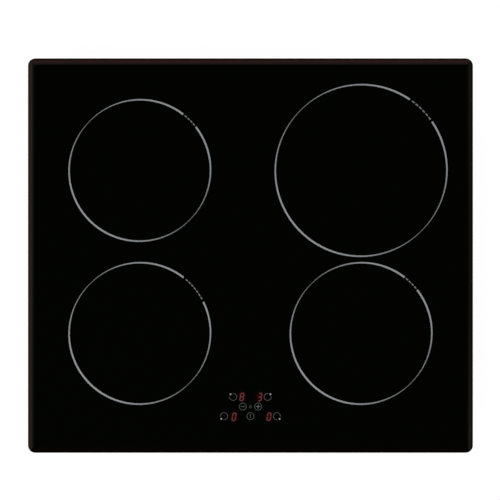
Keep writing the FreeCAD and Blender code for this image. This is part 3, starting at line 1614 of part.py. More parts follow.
def check_and_write():
    """Stop on any failed object or bad shape, then write one file for each sub-part."""
    failed = [item.Label for item in document.Objects
              if {"Invalid", "Error"} & set(item.State)]
    if failed:
        raise RuntimeError("failed objects: " + ", ".join(failed))
    bad = [item.Label for item in nodes if item.Shape.isNull() or not item.Shape.isValid()]
    if bad:
        raise RuntimeError("bad shapes: " + ", ".join(bad))
    os.makedirs("parts", exist_ok=True)
    for item in nodes:
        item.Shape.exportStep(f"parts/{item.Label}.step")
    print(len(nodes), "sub-parts written")


make_hob()
document.recompute()
check_and_write()
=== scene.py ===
import json
import math

import bmesh
import bpy
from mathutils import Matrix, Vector


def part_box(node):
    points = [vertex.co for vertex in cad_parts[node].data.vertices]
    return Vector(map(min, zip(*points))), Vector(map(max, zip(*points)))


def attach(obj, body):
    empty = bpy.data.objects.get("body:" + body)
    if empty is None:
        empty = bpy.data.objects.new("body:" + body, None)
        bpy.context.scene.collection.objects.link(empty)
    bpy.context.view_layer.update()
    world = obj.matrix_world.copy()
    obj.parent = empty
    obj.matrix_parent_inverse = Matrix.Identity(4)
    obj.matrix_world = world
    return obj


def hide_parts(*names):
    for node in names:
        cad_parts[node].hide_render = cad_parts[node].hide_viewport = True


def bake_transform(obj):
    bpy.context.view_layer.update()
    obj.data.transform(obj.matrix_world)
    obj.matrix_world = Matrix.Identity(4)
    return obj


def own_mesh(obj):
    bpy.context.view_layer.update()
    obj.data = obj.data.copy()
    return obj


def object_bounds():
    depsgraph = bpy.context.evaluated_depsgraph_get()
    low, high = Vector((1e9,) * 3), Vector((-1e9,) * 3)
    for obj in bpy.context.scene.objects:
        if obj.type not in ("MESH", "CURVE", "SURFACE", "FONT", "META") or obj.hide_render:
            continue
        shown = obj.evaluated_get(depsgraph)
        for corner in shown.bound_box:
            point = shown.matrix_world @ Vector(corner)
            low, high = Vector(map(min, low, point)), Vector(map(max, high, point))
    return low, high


# Looks of a built-in induction hob.  Everything is in metres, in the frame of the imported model:
# X to the right, Y to the rear, Z up, with the face of the glass on top.

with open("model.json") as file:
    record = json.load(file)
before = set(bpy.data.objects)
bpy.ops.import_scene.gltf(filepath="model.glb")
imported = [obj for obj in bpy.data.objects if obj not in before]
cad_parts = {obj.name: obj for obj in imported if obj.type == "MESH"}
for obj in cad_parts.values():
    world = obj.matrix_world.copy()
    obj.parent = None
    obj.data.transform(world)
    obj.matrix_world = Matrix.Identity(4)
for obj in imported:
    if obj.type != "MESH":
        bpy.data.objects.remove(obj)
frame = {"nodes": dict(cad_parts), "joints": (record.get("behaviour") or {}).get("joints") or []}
cad_low, cad_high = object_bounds()
scene = bpy.context.scene

MM = 0.001

# Places that the looks take from the frame.
glass_low, glass_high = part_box("glass_top")
board_low, board_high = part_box("control_board")
CONTROLS = (board_low + board_high) / 2
FACE = glass_high.z

# Lit digits: character and place from the middle of the control board.
DIGITS = (
    ("8", -11.3 * MM, 12.8 * MM),
    ("3", 12.5 * MM, 12.6 * MM),
    ("0", -21.7 * MM, -13.6 * MM),
    ("0", 24.6 * MM, -13.4 * MM),
)
DIGIT_HALF_WIDTH = 2.15 * MM
DIGIT_HALF_HEIGHT = 4.85 * MM
DIGIT_LINE = 1.3 * MM
DIGIT_SLANT = math.radians(9)
DIGIT_LIFT = 0.06 * MM
DIGIT_THICKNESS = 0.03 * MM

# Printed marks that differ from the rest: place from the middle of the control board, reach, and
# share of the full ink. The first four are the dots on the keys, then minus, plus, lock and power.
KEY_MARKS = (
    (-26.4 * MM, 16.3 * MM, 1.5 * MM, 0.8),
    (26.4 * MM, 16.3 * MM, 1.5 * MM, 0.8),
    (-38.6 * MM, -16.3 * MM, 1.5 * MM, 0.8),
    (38.6 * MM, -16.3 * MM, 1.5 * MM, 0.8),
    (-10.2 * MM, 0.0, 3.2 * MM, 0.36),
    (10.2 * MM, 0.0, 3.2 * MM, 0.58),
    (0.0, 0.0, 4 * MM, 0.068),
    (0.0, -12.7 * MM, 3.2 * MM, 0.32),
)
MARK_BORDER = 0.1 * MM
# Area of the controls, where all other marks have the ink of keys, and its soft border.
KEY_INK = 0.265
CONTROLS_HALF_WIDTH = 48 * MM
CONTROLS_HALF_DEPTH = 23 * MM
CONTROLS_BORDER = 2 * MM
# Ink of a ring where it is thinnest and where it is widest, which is at 45 and 225 degrees, and
# how far out of the ring's radius that ink reaches.
THIN_RING_INK = 0.52
WIDE_RING_INK = 0.95
RING_WIDEST = Vector((math.cos(math.radians(45)), math.sin(math.radians(45)), 0))
RING_REACH = 4.5 * MM
# Ink of the dashes in a ring's gap, and the soft border round rings and dashes.
DASH_INK = 0.6
INK_BORDER = 0.5 * MM
# Each zone's ring: the middle and the sweep of its row of dashes in degrees, and how far the ring
# lies outside the winding.
RINGS = {
    "rear_left": (45, 14.3, 12.8 * MM),
    "rear_right": (45, 21, 14.8 * MM),
    "front_left": (39.2, 25.5, 12.8 * MM),
    "front_right": (45, 14.3, 12.8 * MM),
}
# The wire of a winding: its mesh carries, under this name, how far along it a corner lies in
# metres and how far round it in turns.
WIRE_LAY = "wire_lay"
STRANDS = 9
STRAND_TWIST = 2.4 * MM


# Wiring of shader nodes --------------------------------------------------------------------

class Wiring:
    """Short calls that add nodes to a tree and join them."""

    def __init__(self, tree):
        self.tree = tree

    def node(self, kind, inputs=None, **settings):
        made = self.tree.nodes.new(kind)
        for name, setting in settings.items():
            setattr(made, name, setting)
        for name, source in (inputs or {}).items():
            self.feed(made.inputs[name], source)
        return made

    def feed(self, socket, source):
        if isinstance(source, bpy.types.NodeSocket):
            self.tree.links.new(source, socket)
        else:
            socket.default_value = source

    def maths(self, operation, first, second=0.0, clamp=False):
        made = self.node("ShaderNodeMath", {0: first, 1: second}, operation=operation)
        made.use_clamp = clamp
        return made.outputs[0]

    def vector(self, operation, first, second=(0, 0, 0)):
        made = self.node("ShaderNodeVectorMath", {0: first, 1: second}, operation=operation)
        return made.outputs["Value" if operation in ("LENGTH", "DOT_PRODUCT") else "Vector"]

    def ramp(self, source, low, high, to_low=0.0, to_high=1.0, smooth=False):
        made = self.node("ShaderNodeMapRange", {"Value": source, "From Min": low,
                                                "From Max": high, "To Min": to_low,
                                                "To Max": to_high})
        made.interpolation_type = "SMOOTHSTEP" if smooth else "LINEAR"
        return made.outputs["Result"]

    def blend(self, factor, first, second):
        made = self.node("ShaderNodeMix", {0: factor, 6: colour(first), 7: colour(second)},
                         data_type="RGBA")
        return made.outputs[2]

    def mix(self, factor, first, second):
        made = self.node("ShaderNodeMix", {0: factor, 2: first, 3: second})
        return made.outputs[0]

    def split(self, source):
        made = self.node("ShaderNodeSeparateXYZ", {0: source})
        return made.outputs[0], made.outputs[1], made.outputs[2]


def colour(source):
    """A colour as a shader wants it; sockets pass through."""
    return source if isinstance(source, bpy.types.NodeSocket) else (*source[:3], 1.0)


def shade(base, factor):
    """The same colour, brighter or darker."""
    return tuple(channel * factor for channel in base)


class Surface(Wiring):
    """A material with one Principled shader, and the patterns that vary it."""

    def __init__(self, name, base, roughness, metallic=0.0, specular=0.5):
        self.material = bpy.data.materials.new(name + "_finish")
        self.material.use_nodes = True
        super().__init__(self.material.node_tree)
        self.base = base
        self.shader = self.tree.nodes["Principled BSDF"]
        self.set("Base Color", colour(base))
        self.set("Roughness", roughness)
        self.set("Metallic", metallic)
        self.set("Specular IOR Level", specular)
        self.place = self.node("ShaderNodeTexCoord").outputs["Object"]

    def set(self, name, source):
        self.feed(self.shader.inputs[name], source)

    def stretched(self, x, y, z):
        """Object coordinates times a factor per axis: a pattern runs long where it is small."""
        return self.vector("MULTIPLY", self.place, (x, y, z))

    def noise(self, scale, detail=2.0, rough=0.5, place=None):
        made = self.node("ShaderNodeTexNoise", {"Vector": place or self.place, "Scale": scale,
                                                "Detail": detail, "Roughness": rough})
        return made.outputs[0]

    def cells(self, scale, metric="EUCLIDEAN", place=None):
        made = self.node("ShaderNodeTexVoronoi", {"Vector": place or self.place,
                                                  "Scale": scale}, distance=metric)
        return made.outputs

    def tint(self, factor, low, high):
        """Base colour between two shades of the material's own colour."""
        mixed = self.blend(factor, shade(self.base, low), shade(self.base, high))
        self.set("Base Color", mixed)
        return mixed

    def roughen(self, factor, low, high):
        self.set("Roughness", self.ramp(factor, 0.0, 1.0, low, high))

    def bump(self, height, depth, strength=1.0):
        """Adds relief of the given depth in metres on top of what is there."""
        made = self.node("ShaderNodeBump", {"Height": height, "Distance": depth,
                                            "Strength": strength})
        normal = self.shader.inputs["Normal"]
        if normal.is_linked:
            self.feed(made.inputs["Normal"], normal.links[0].from_socket)
        self.set("Normal", made.outputs["Normal"])


# Materials ---------------------------------------------------------------------------------

WHITE = (1.0, 1.0, 1.0)
# Tint of what the ground facets reflect; the right one's paler tint is a painted reflection by
# side.
WARM_FACET = (1.0, 0.5, 0.39)
RIGHT_FACET_PAINTED_TINT = (1.0, 0.8, 0.62)
FACET_BODY = (0.0016, 0.0011, 0.0009)
# How far up the surface faces where the facets begin and are whole, where their tint does the
# same, and where the tint goes again on the upright edge. Last, how far to the right it faces
# where the right facet's painted reflection tint begins and is whole.
FACET_UPWARD = (0.998, 0.991)
TINT_UPWARD = (0.995, 0.979)
EDGE_UPWARD = (0.9, 0.5)
PAINTED_TINT_FACING_RIGHT = (0.05, 0.2)
# The dark rim along the edge of the glass, which is painted shade that cuts its reflection there,
# narrower at the left: its width, what the left side lacks of it, its soft border, and how rough
# and how metallic it is.
RIM = 1.8 * MM
LEFT_PAINTED_RIM_LESS = 1.0 * MM
RIM_BORDER = 0.5 * MM
RIM_ROUGHNESS = 0.5
RIM_METALLIC = 0.95
# The light of the digits, and the red light that leaks round each of them.
DIGIT_LIGHT = (0.102, 0.0365, 0.0425)
GLOW_HALF_WIDTH = 7 * MM
GLOW_HALF_HEIGHT = 9.5 * MM
GLOW_COLOUR = (0.55, 0.0, 0.012)
GLOW_STRENGTH = 0.055
# How far the edges of zinc crystals wander, and the spacing of the wire on a choke.
CRYSTAL_WANDER = 1.2 * MM
CHOKE_WIRE_PITCH = 1.1 * MM


def glow_of(surface, x, y):
    """1 at a point of the glass, falling softly to 0 at an ellipse round it."""
    away = surface.vector("SUBTRACT", surface.place, (x, y, FACE))
    away = surface.vector("MULTIPLY", away, (1 / GLOW_HALF_WIDTH, 1 / GLOW_HALF_HEIGHT, 0))
    return surface.ramp(surface.vector("LENGTH", away), 1.0, 0.0, smooth=True)


def painted_dark_rim_of(surface):
    """1 along the edge of the glass, falling to 0 further in: where the painted dark rim lies."""
    x, y, _ = surface.split(surface.place)
    sides = (surface.maths("SUBTRACT", x, glass_low.x - LEFT_PAINTED_RIM_LESS),
             surface.maths("SUBTRACT", glass_high.x, x),
             surface.maths("SUBTRACT", y, glass_low.y),
             surface.maths("SUBTRACT", glass_high.y, y))
    inward = sides[0]
    for side in sides[1:]:
        inward = surface.maths("MINIMUM", inward, side)
    return surface.ramp(inward, RIM + RIM_BORDER, RIM)


def black_glass():
    """Glass ceramic: clear face, ground facets and edge, red light leaking round the digits. The
    right facet's paler reflection tint and the dark rim along the edge are painted light and
    shade.
    """
    glass = Surface("black_glass", (0.0009, 0.0013, 0.0007), 0.03)
    normal = glass.node("ShaderNodeTexCoord").outputs["Normal"]
    to_right, _, upward = glass.split(normal)
    facet = glass.ramp(upward, *FACET_UPWARD)
    # The right facet's paler tint, chosen by the way it faces, is a painted reflection.
    warm = glass.blend(glass.ramp(to_right, *PAINTED_TINT_FACING_RIGHT), WARM_FACET, RIGHT_FACET_PAINTED_TINT)
    warm = glass.blend(glass.ramp(upward, *EDGE_UPWARD), warm, WHITE)
    glass.set("Base Color", glass.blend(facet, glass.base, FACET_BODY))
    glass.set("Specular Tint", glass.blend(glass.ramp(upward, *TINT_UPWARD), WHITE, warm))
    smear = glass.noise(14, 3, 0.55)
    polished = glass.ramp(smear, 0.3, 0.75, 0.022, 0.04)
    ground = glass.ramp(glass.noise(900, 2), 0.3, 0.7, 0.07, 0.1)
    polished = glass.mix(facet, polished, ground)
    # The dark rim is painted shade: near-black metal that cuts the glass's reflection along the
    # edge.
    rim = painted_dark_rim_of(glass)
    glass.set("Roughness", glass.mix(rim, polished, RIM_ROUGHNESS))
    glass.set("Metallic", glass.maths("MULTIPLY", rim, RIM_METALLIC))
    glass.bump(glass.noise(1400, 2), 0.004 * MM, 0.15)
    light = 0.0
    for _, x, y in DIGITS:
        light = glass.maths("ADD", light, glow_of(glass, CONTROLS.x + x, CONTROLS.y + y))
    glass.set("Emission Color", colour(GLOW_COLOUR))
    glass.set("Emission Strength", glass.maths("MULTIPLY", light, GLOW_STRENGTH))
    return glass.material


def print_grey():
    """Ceramic ink: rings are brightest where they swell, dashes and most marks are dimmer."""
    ink = Surface("print_grey", (0.288, 0.3, 0.31), 0.5)
    dim = 1.0
    for zone, (turn, sweep, outside) in RINGS.items():
        low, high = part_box("coil_winding_" + zone)
        middle = (low + high) / 2
        radius = (high.x - low.x) / 2 + outside
        away = ink.vector("SUBTRACT", ink.place, (middle.x, middle.y, FACE))
        edge = radius + RING_REACH
        on_ring = ink.ramp(ink.vector("LENGTH", away), edge + INK_BORDER, edge)
        lean = ink.vector("DOT_PRODUCT", away, RING_WIDEST / radius)
        width = ink.maths("ABSOLUTE", lean)
        flow = ink.ramp(width, 0.0, 1.0, THIN_RING_INK, WIDE_RING_INK)
        dim = ink.mix(on_ring, dim, flow)
        x = middle.x + radius * math.cos(math.radians(turn))
        y = middle.y + radius * math.sin(math.radians(turn))
        half = radius * math.sin(math.radians(sweep / 2))
        away = ink.vector("SUBTRACT", ink.place, (x, y, FACE))
        dashes = ink.ramp(ink.vector("LENGTH", away), half - INK_BORDER, half, DASH_INK, 1.0)
        dim = ink.maths("MULTIPLY", dim, dashes)
    away = ink.vector("ABSOLUTE", ink.vector("SUBTRACT", ink.place, CONTROLS))
    across, along, _ = ink.split(away)
    in_width = ink.ramp(across, CONTROLS_HALF_WIDTH + CONTROLS_BORDER, CONTROLS_HALF_WIDTH)
    in_depth = ink.ramp(along, CONTROLS_HALF_DEPTH + CONTROLS_BORDER, CONTROLS_HALF_DEPTH)
    in_controls = ink.maths("MULTIPLY", in_width, in_depth)
    keys = KEY_INK
    for x, y, reach, brightness in KEY_MARKS:
        away = ink.vector("SUBTRACT", ink.place, (CONTROLS.x + x, CONTROLS.y + y, FACE))
        near = ink.ramp(ink.vector("LENGTH", away), reach + MARK_BORDER, reach)
        keys = ink.mix(near, keys, brightness)
    dim = ink.mix(in_controls, dim, keys)
    grain = ink.ramp(ink.noise(2500, 2), 0.25, 0.75, 0.9, 1.06)
    value = ink.maths("MULTIPLY", dim, grain)
    ink.set("Base Color", ink.blend(value, (0.0, 0.0, 0.0), ink.base))
    ink.bump(ink.noise(3000, 2), 0.01 * MM, 0.3)
    return ink.material


def lit_red():
    """Glowing segments, a little uneven, as light is behind a diffuser."""
    red = Surface("lit_red", (0.02, 0.004, 0.004), 0.35)
    flicker = red.ramp(red.noise(700, 2), 0.3, 0.7, 0.85, 1.15)
    red.set("Emission Color", colour(DIGIT_LIGHT))
    red.set("Emission Strength", flicker)
    return red.material


def foam(name, base):
    """Closed-cell foam: a matte skin with open pores of several sizes, painted darker as shade."""
    soft = Surface(name, base, 0.92, specular=0.25)
    small = soft.ramp(soft.cells(2600)["Distance"], 0.1, 0.55)
    large = soft.ramp(soft.cells(1100)["Distance"], 0.12, 0.5)
    pores = soft.maths("MULTIPLY", small, large)
    mottle = soft.noise(90, 3)
    # Painted shade: the pores are painted darker where the bump makes them hollow.
    soft.tint(soft.maths("MULTIPLY", pores, soft.ramp(mottle, 0.3, 0.7, 0.7, 1.0)), 0.35, 1.25)
    soft.roughen(pores, 0.98, 0.82)
    soft.bump(pores, 0.18 * MM, 0.7)
    return soft.material


def silicone(name, base):
    """Cured silicone: smooth skin with slow waves from the nozzle and a few fine bubbles."""
    bead = Surface(name, base, 0.38)
    waves = bead.noise(260, 2)
    bead.tint(bead.noise(40, 3), 0.8, 1.2)
    bead.roughen(waves, 0.3, 0.48)
    bead.bump(waves, 0.12 * MM, 0.5)
    bead.bump(bead.ramp(bead.cells(700)["Distance"], 0.0, 0.12), 0.05 * MM, 0.5)
    return bead.material


def galvanised(name, base, crystal_size):
    """Zinc-coated sheet: flat crystals of different brightness, rolling lines and scratches."""
    sheet = Surface(name, base, 0.36, metallic=1.0)
    sway = sheet.node("ShaderNodeTexNoise", {"Vector": sheet.place, "Scale": 420.0,
                                             "Detail": 2.0})
    sway = sheet.vector("MULTIPLY", sway.outputs["Color"], (CRYSTAL_WANDER,) * 3)
    place = sheet.vector("ADD", sheet.place, sway)
    crystal = sheet.split(sheet.cells(1 / crystal_size, place=place)["Color"])[0]
    lines = sheet.noise(6, 4, 0.6, sheet.stretched(1, 55, 55))
    stains = sheet.noise(9, 4, 0.6)
    bright = sheet.maths("ADD", sheet.maths("MULTIPLY", crystal, 0.35),
                         sheet.maths("MULTIPLY", lines, 0.4))
    bright = sheet.maths("ADD", bright, sheet.maths("MULTIPLY", stains, 0.25), clamp=True)
    sheet.tint(bright, 0.82, 1.12)
    sheet.set("Roughness", sheet.ramp(bright, 0.2, 0.8, 0.4, 0.22))
    sheet.bump(crystal, 0.02 * MM, 0.25)
    sheet.bump(lines, 0.02 * MM, 0.2)
    scratches = sheet.ramp(sheet.noise(30, 2, 0.5, sheet.stretched(1, 18, 4)), 0.66, 0.72)
    sheet.bump(scratches, -0.02 * MM, 0.25)
    return sheet.material


def bright_zinc(name, base):
    """Plated fastener: bluish passivated zinc with a slight rainbow and tumbling dents."""
    plate = Surface(name, base, 0.28, metallic=1.0)
    film = plate.noise(260, 3)
    plate.set("Base Color", plate.blend(film, shade(base, 0.85), (0.70, 0.68, 0.60)))
    plate.roughen(plate.noise(1200, 3), 0.2, 0.42)
    plate.bump(plate.noise(900, 3), 0.03 * MM, 0.35)
    return plate.material


def spring_steel():
    """Cold-rolled strip and drawn wire: fine lines and an oiled, darker film."""
    steel = Surface("spring_steel", (0.5, 0.5, 0.51), 0.3, metallic=1.0)
    lines = steel.noise(40, 3, 0.6, steel.stretched(60, 2, 60))
    film = steel.noise(70, 3)
    steel.tint(steel.maths("MULTIPLY", lines, film), 0.7, 1.5)
    steel.roughen(lines, 0.22, 0.42)
    steel.bump(lines, 0.02 * MM, 0.3)
    return steel.material


def moulded(name, base, roughness, grain=0.35 * MM):
    """Moulded plastic: spark-eroded texture, and faint flow marks of uneven gloss."""
    plastic = Surface(name, base, roughness)
    skin = plastic.noise(1 / grain, 3, 0.6)
    flow = plastic.noise(22, 4, 0.55)
    plastic.tint(flow, 0.82, 1.2)
    plastic.roughen(plastic.maths("MULTIPLY", skin, plastic.ramp(flow, 0.2, 0.8, 0.8, 1.2)),
                    roughness - 0.12, roughness + 0.14)
    plastic.bump(skin, 0.05 * MM, 0.35)
    return plastic.material


def contact_brass():
    """Turned brass with darker tarnish."""
    brass = Surface("contact_brass", (0.66, 0.5, 0.24), 0.3, metallic=1.0)
    tarnish = brass.noise(160, 4, 0.6)
    brass.set("Base Color", brass.blend(tarnish, (0.42, 0.28, 0.12), (0.74, 0.6, 0.34)))
    brass.roughen(tarnish, 0.42, 0.22)
    brass.bump(brass.noise(60, 2, 0.5, brass.stretched(2, 2, 60)), 0.02 * MM, 0.3)
    return brass.material


def board_laminate():
    """Circuit board: green lacquer over copper tracks, and tinned pads."""
    board = Surface("board_laminate", (0.03, 0.15, 0.065), 0.32)
    flat = board.stretched(1, 1, 0)
    contour = board.cells(75, metric="MANHATTAN", place=flat)["Distance"]
    track = board.maths("FRACT", board.maths("MULTIPLY", contour, 7.0))
    track = board.ramp(track, 0.45, 0.55)
    pad = board.ramp(board.cells(210, place=flat)["Distance"], 0.2, 0.16)
    lacquer = board.blend(track, shade(board.base, 0.75), shade(board.base, 1.5))
    board.set("Base Color", board.blend(pad, lacquer, (0.62, 0.62, 0.58)))
    board.set("Metallic", board.ramp(pad, 0.0, 1.0, 0.0, 0.9))
    board.roughen(board.noise(500, 2), 0.24, 0.42)
    board.bump(track, 0.04 * MM, 0.5)
    board.bump(pad, 0.15 * MM, 0.6)
    return board.material


def aluminium(name, base, stretch):
    """Mill-finish aluminium with lines along the way it was rolled or extruded."""
    metal = Surface(name, base, 0.32, metallic=1.0)
    lines = metal.noise(20, 4, 0.65, metal.stretched(*stretch))
    clouds = metal.noise(18, 3)
    metal.tint(metal.maths("MULTIPLY", lines, metal.ramp(clouds, 0.2, 0.8, 0.85, 1.15)),
               0.78, 1.3)
    metal.roughen(lines, 0.24, 0.46)
    metal.bump(lines, 0.025 * MM, 0.35)
    return metal.material


def device_epoxy():
    """Black moulding compound: matte, with filler specks."""
    epoxy = Surface("device_epoxy", (0.022, 0.022, 0.024), 0.55)
    specks = epoxy.ramp(epoxy.cells(3500)["Distance"], 0.0, 0.25, 1.0, 0.0)
    epoxy.tint(epoxy.maths("ADD", specks, epoxy.noise(60, 3), clamp=True), 0.7, 1.6)
    epoxy.roughen(specks, 0.6, 0.4)
    epoxy.bump(epoxy.noise(2800, 2), 0.03 * MM, 0.4)
    return epoxy.material


def display_window():
    """Dark red cast resin over the digit dies."""
    resin = Surface("display_window", (0.05, 0.004, 0.005), 0.18)
    haze = resin.noise(300, 3)
    resin.tint(haze, 0.5, 1.7)
    resin.roughen(haze, 0.14, 0.26)
    resin.bump(haze, 0.01 * MM, 0.3)
    return resin.material


def capacitor_film():
    """Epoxy-filled film capacitor cases: ochre, glossy, a little uneven."""
    case = Surface("capacitor_film", (0.6, 0.36, 0.04), 0.25)
    wave = case.noise(120, 3)
    case.tint(wave, 0.75, 1.2)
    case.roughen(wave, 0.18, 0.36)
    case.bump(case.noise(420, 2), 0.06 * MM, 0.4)
    return case.material


def winding_copper():
    """Twisted enamelled strands: the wire's mesh says how far along and how far round it lies.
    The grooves between the strands are painted darker, as painted shade.
    """
    wire = Surface("winding_copper", (0.5, 0.21, 0.09), 0.36, metallic=0.75)
    lay = wire.node("ShaderNodeAttribute", attribute_name=WIRE_LAY).outputs["Vector"]
    along, around, _ = wire.split(lay)
    phase = wire.maths("ADD", wire.maths("DIVIDE", along, STRAND_TWIST),
                       wire.maths("MULTIPLY", around, float(STRANDS)))
    crown_and_groove_shade = wire.maths("ABSOLUTE", wire.maths("SINE", wire.maths("MULTIPLY", phase, math.pi)))
    enamel = wire.noise(180, 3)
    # Painted shade: the grooves between strands are painted darker.
    wire.tint(wire.maths("MULTIPLY", crown_and_groove_shade, wire.ramp(enamel, 0.3, 0.7, 0.75, 1.0)), 0.3, 1.3)
    wire.roughen(crown_and_groove_shade, 0.48, 0.3)
    wire.bump(crown_and_groove_shade, 0.12 * MM, 0.8)
    return wire.material


def choke_copper():
    """Round enamelled wire wound side by side, with painted shade in the grooves between turns."""
    wire = Surface("choke_copper", (0.5, 0.2, 0.08), 0.3, metallic=0.8)
    _, _, z = wire.split(wire.place)
    turns = wire.maths("SINE", wire.maths("MULTIPLY", z, 2 * math.pi / CHOKE_WIRE_PITCH))
    turns = wire.ramp(turns, -1.0, 1.0)
    # Painted shade: the grooves between turns of wire are painted darker.
    wire.tint(turns, 0.3, 1.2)
    wire.roughen(wire.noise(500, 2), 0.22, 0.4)
    wire.bump(turns, 0.25 * MM, 0.8)
    return wire.material


def mica_sheet():
    """Built-up mica: overlapping flakes with a silvery gleam in a warm binder."""
    mica = Surface("mica_sheet", (0.62, 0.57, 0.46), 0.35)
    large = mica.split(mica.cells(160)["Color"])[0]
    small = mica.split(mica.cells(420)["Color"])[1]
    clouds = mica.noise(25, 3)
    tone = mica.maths("ADD", mica.maths("MULTIPLY", large, 0.35),
                      mica.maths("MULTIPLY", small, 0.3))
    tone = mica.maths("ADD", tone, mica.maths("MULTIPLY", clouds, 0.35))
    mica.tint(tone, 0.8, 1.14)
    mica.roughen(tone, 0.22, 0.46)
    mica.set("Metallic", mica.ramp(tone, 0.55, 0.95, 0.0, 0.3))
    mica.bump(tone, 0.03 * MM, 0.4)
    return mica.material


def ferrite():
    """Sintered ferrite: dark grey with fine pits that are painted darker as shade."""
    core = Surface("ferrite", (0.065, 0.062, 0.064), 0.6, specular=0.6)
    pits = core.ramp(core.cells(1500)["Distance"], 0.05, 0.3)
    # Painted shade: the pits are painted darker, with random tone from the noise on top.
    core.tint(core.maths("MULTIPLY", pits, core.noise(220, 3)), 0.5, 1.9)
    core.roughen(pits, 0.8, 0.5)
    core.bump(pits, 0.06 * MM, 0.5)
    return core.material


def make_finishes():
    """One finish for each material slot of the record."""
    return {
        "black_glass": black_glass(),
        "print_grey": print_grey(),
        "seal_foam": foam("seal_foam", (0.035, 0.035, 0.037)),
        "bond_silicone": silicone("bond_silicone", (0.022, 0.022, 0.023)),
        "frame_steel": galvanised("frame_steel", (0.5, 0.515, 0.525), 3.5 * MM),
        "pan_steel": galvanised("pan_steel", (0.52, 0.535, 0.545), 4.5 * MM),
        "screw_steel": bright_zinc("screw_steel", (0.62, 0.63, 0.66)),
        "spring_steel": spring_steel(),
        "box_plastic": moulded("box_plastic", (0.022, 0.022, 0.024), 0.46),
        "terminal_plastic": moulded("terminal_plastic", (0.6, 0.57, 0.5), 0.42),
        "contact_brass": contact_brass(),
        "tray_plastic": moulded("tray_plastic", (0.13, 0.14, 0.15), 0.5),
        "board_laminate": board_laminate(),
        "heatsink_aluminium": aluminium("heatsink_aluminium", (0.72, 0.73, 0.74), (60, 2, 60)),
        "device_epoxy": device_epoxy(),
        "capacitor_film": capacitor_film(),
        "copper_wire": choke_copper(),
        "plate_aluminium": aluminium("plate_aluminium", (0.74, 0.75, 0.75), (2, 60, 60)),
        "impeller_plastic": moulded("impeller_plastic", (0.03, 0.03, 0.033), 0.4, 0.5 * MM),
        "motor_steel": bright_zinc("motor_steel", (0.42, 0.43, 0.45)),
        "mica_sheet": mica_sheet(),
        "carrier_plastic": moulded("carrier_plastic", (0.5, 0.48, 0.42), 0.5),
        "ferrite": ferrite(),
        "sensor_silicone": silicone("sensor_silicone", (0.55, 0.55, 0.53)),
        "pad_foam": foam("pad_foam", (0.09, 0.09, 0.095)),
    }


def dress_frame(finishes):
    """Gives every node of the frame its finish; the digit displays get their own."""
    for name, node in frame["nodes"].items():
        finish = finishes[node.material_slots[0].material.name]
        if name == "digit_displays":
            finish = display_window()
        for slot in node.material_slots:
            slot.material = finish


# Pieces ------------------------------------------------------------------------------------

def new_piece(name, mesh_code, material, body="casing"):
    """A mesh made with bmesh code that rides on a body, or on none."""
    mesh = bpy.data.meshes.new(name)
    shape = bmesh.new()
    mesh_code(shape)
    bmesh.ops.recalc_face_normals(shape, faces=shape.faces)
    shape.to_mesh(mesh)
    shape.free()
    mesh.materials.append(material)
    piece = bpy.data.objects.new(name, mesh)
    scene.collection.objects.link(piece)
    if body:
        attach(piece, body)
    return piece


def skin_rings(shape, rings):
    """Side faces between following rings of corners, and a face on each end."""
    count = len(rings[0])
    for before, after in zip(rings, rings[1:]):
        for index in range(count):
            following = (index + 1) % count
            side = shape.faces.new((before[index], before[following],
                                    after[following], after[index]))
            side.smooth = True
    shape.faces.new(rings[0])
    shape.faces.new(list(reversed(rings[-1])))


def solid_outline(shape, corners, bottom, thickness):
    """A thin closed solid over a flat outline of (x, y) corners."""
    low = [shape.verts.new((x, y, bottom)) for x, y in corners]
    high = [shape.verts.new((x, y, bottom + thickness)) for x, y in corners]
    shape.faces.new(list(reversed(low)))
    shape.faces.new(high)
    count = len(corners)
    for index in range(count):
        after = (index + 1) % count
        shape.faces.new((low[index], low[after], high[after], high[index]))


# Segment ends in units of half a digit: a is the top, then clockwise to f, and g the middle.
SEGMENT_ENDS = {
    "a": ((-1, 1), (1, 1)), "b": ((1, 0), (1, 1)), "c": ((1, -1), (1, 0)),
    "d": ((-1, -1), (1, -1)), "e": ((-1, -1), (-1, 0)), "f": ((-1, 0), (-1, 1)),
    "g": ((-1, 0), (1, 0)),
}
SEGMENTS_LIT = {"0": "abcdef", "3": "abcdg", "8": "abcdefg"}
SEGMENT_GAP = 0.18 * MM


def add_digit(shape, character, x, y):
    """Pointed bars in seven-segment places, leaning to the right."""
    for segment in SEGMENTS_LIT[character]:
        start, end = (Vector((px * DIGIT_HALF_WIDTH, py * DIGIT_HALF_HEIGHT))
                      for px, py in SEGMENT_ENDS[segment])
        along = (end - start).normalized()
        across = Vector((-along.y, along.x)) * DIGIT_LINE / 2
        start = start + along * SEGMENT_GAP
        end = end - along * SEGMENT_GAP
        point = along * DIGIT_LINE / 2
        bar = (start, start + point - across, end - point - across,
               end, end - point + across, start + point + across)
        corners = [(x + p.x + p.y * math.tan(DIGIT_SLANT), y + p.y) for p in bar]
        solid_outline(shape, corners, FACE + DIGIT_LIFT, DIGIT_THICKNESS)


def make_digits():
    """The lit digits, as one piece."""
    def code(shape):
        for character, x, y in DIGITS:
            add_digit(shape, character, CONTROLS.x + x, CONTROLS.y + y)
    return new_piece("lit_digits", code, lit_red())


FOAM_BULGE = 0.35 * MM
FOAM_CORNER = 8 * MM
FOAM_WIDTH = 10 * MM
FOAM_STEP = 5 * MM
FOAM_CORNER_STEPS = 10
FOAM_OUTER_ROWS = 5
FOAM_INNER_ROWS = 4
FOAM_JOINT = 0.35 * MM
# Share of the bulge that wavers along the tape, and its two waves: turn per step and start, in
# radians.
FOAM_WAVER = 0.25
FOAM_WAVES = ((0.9, 0.0), (0.37, 1.1))


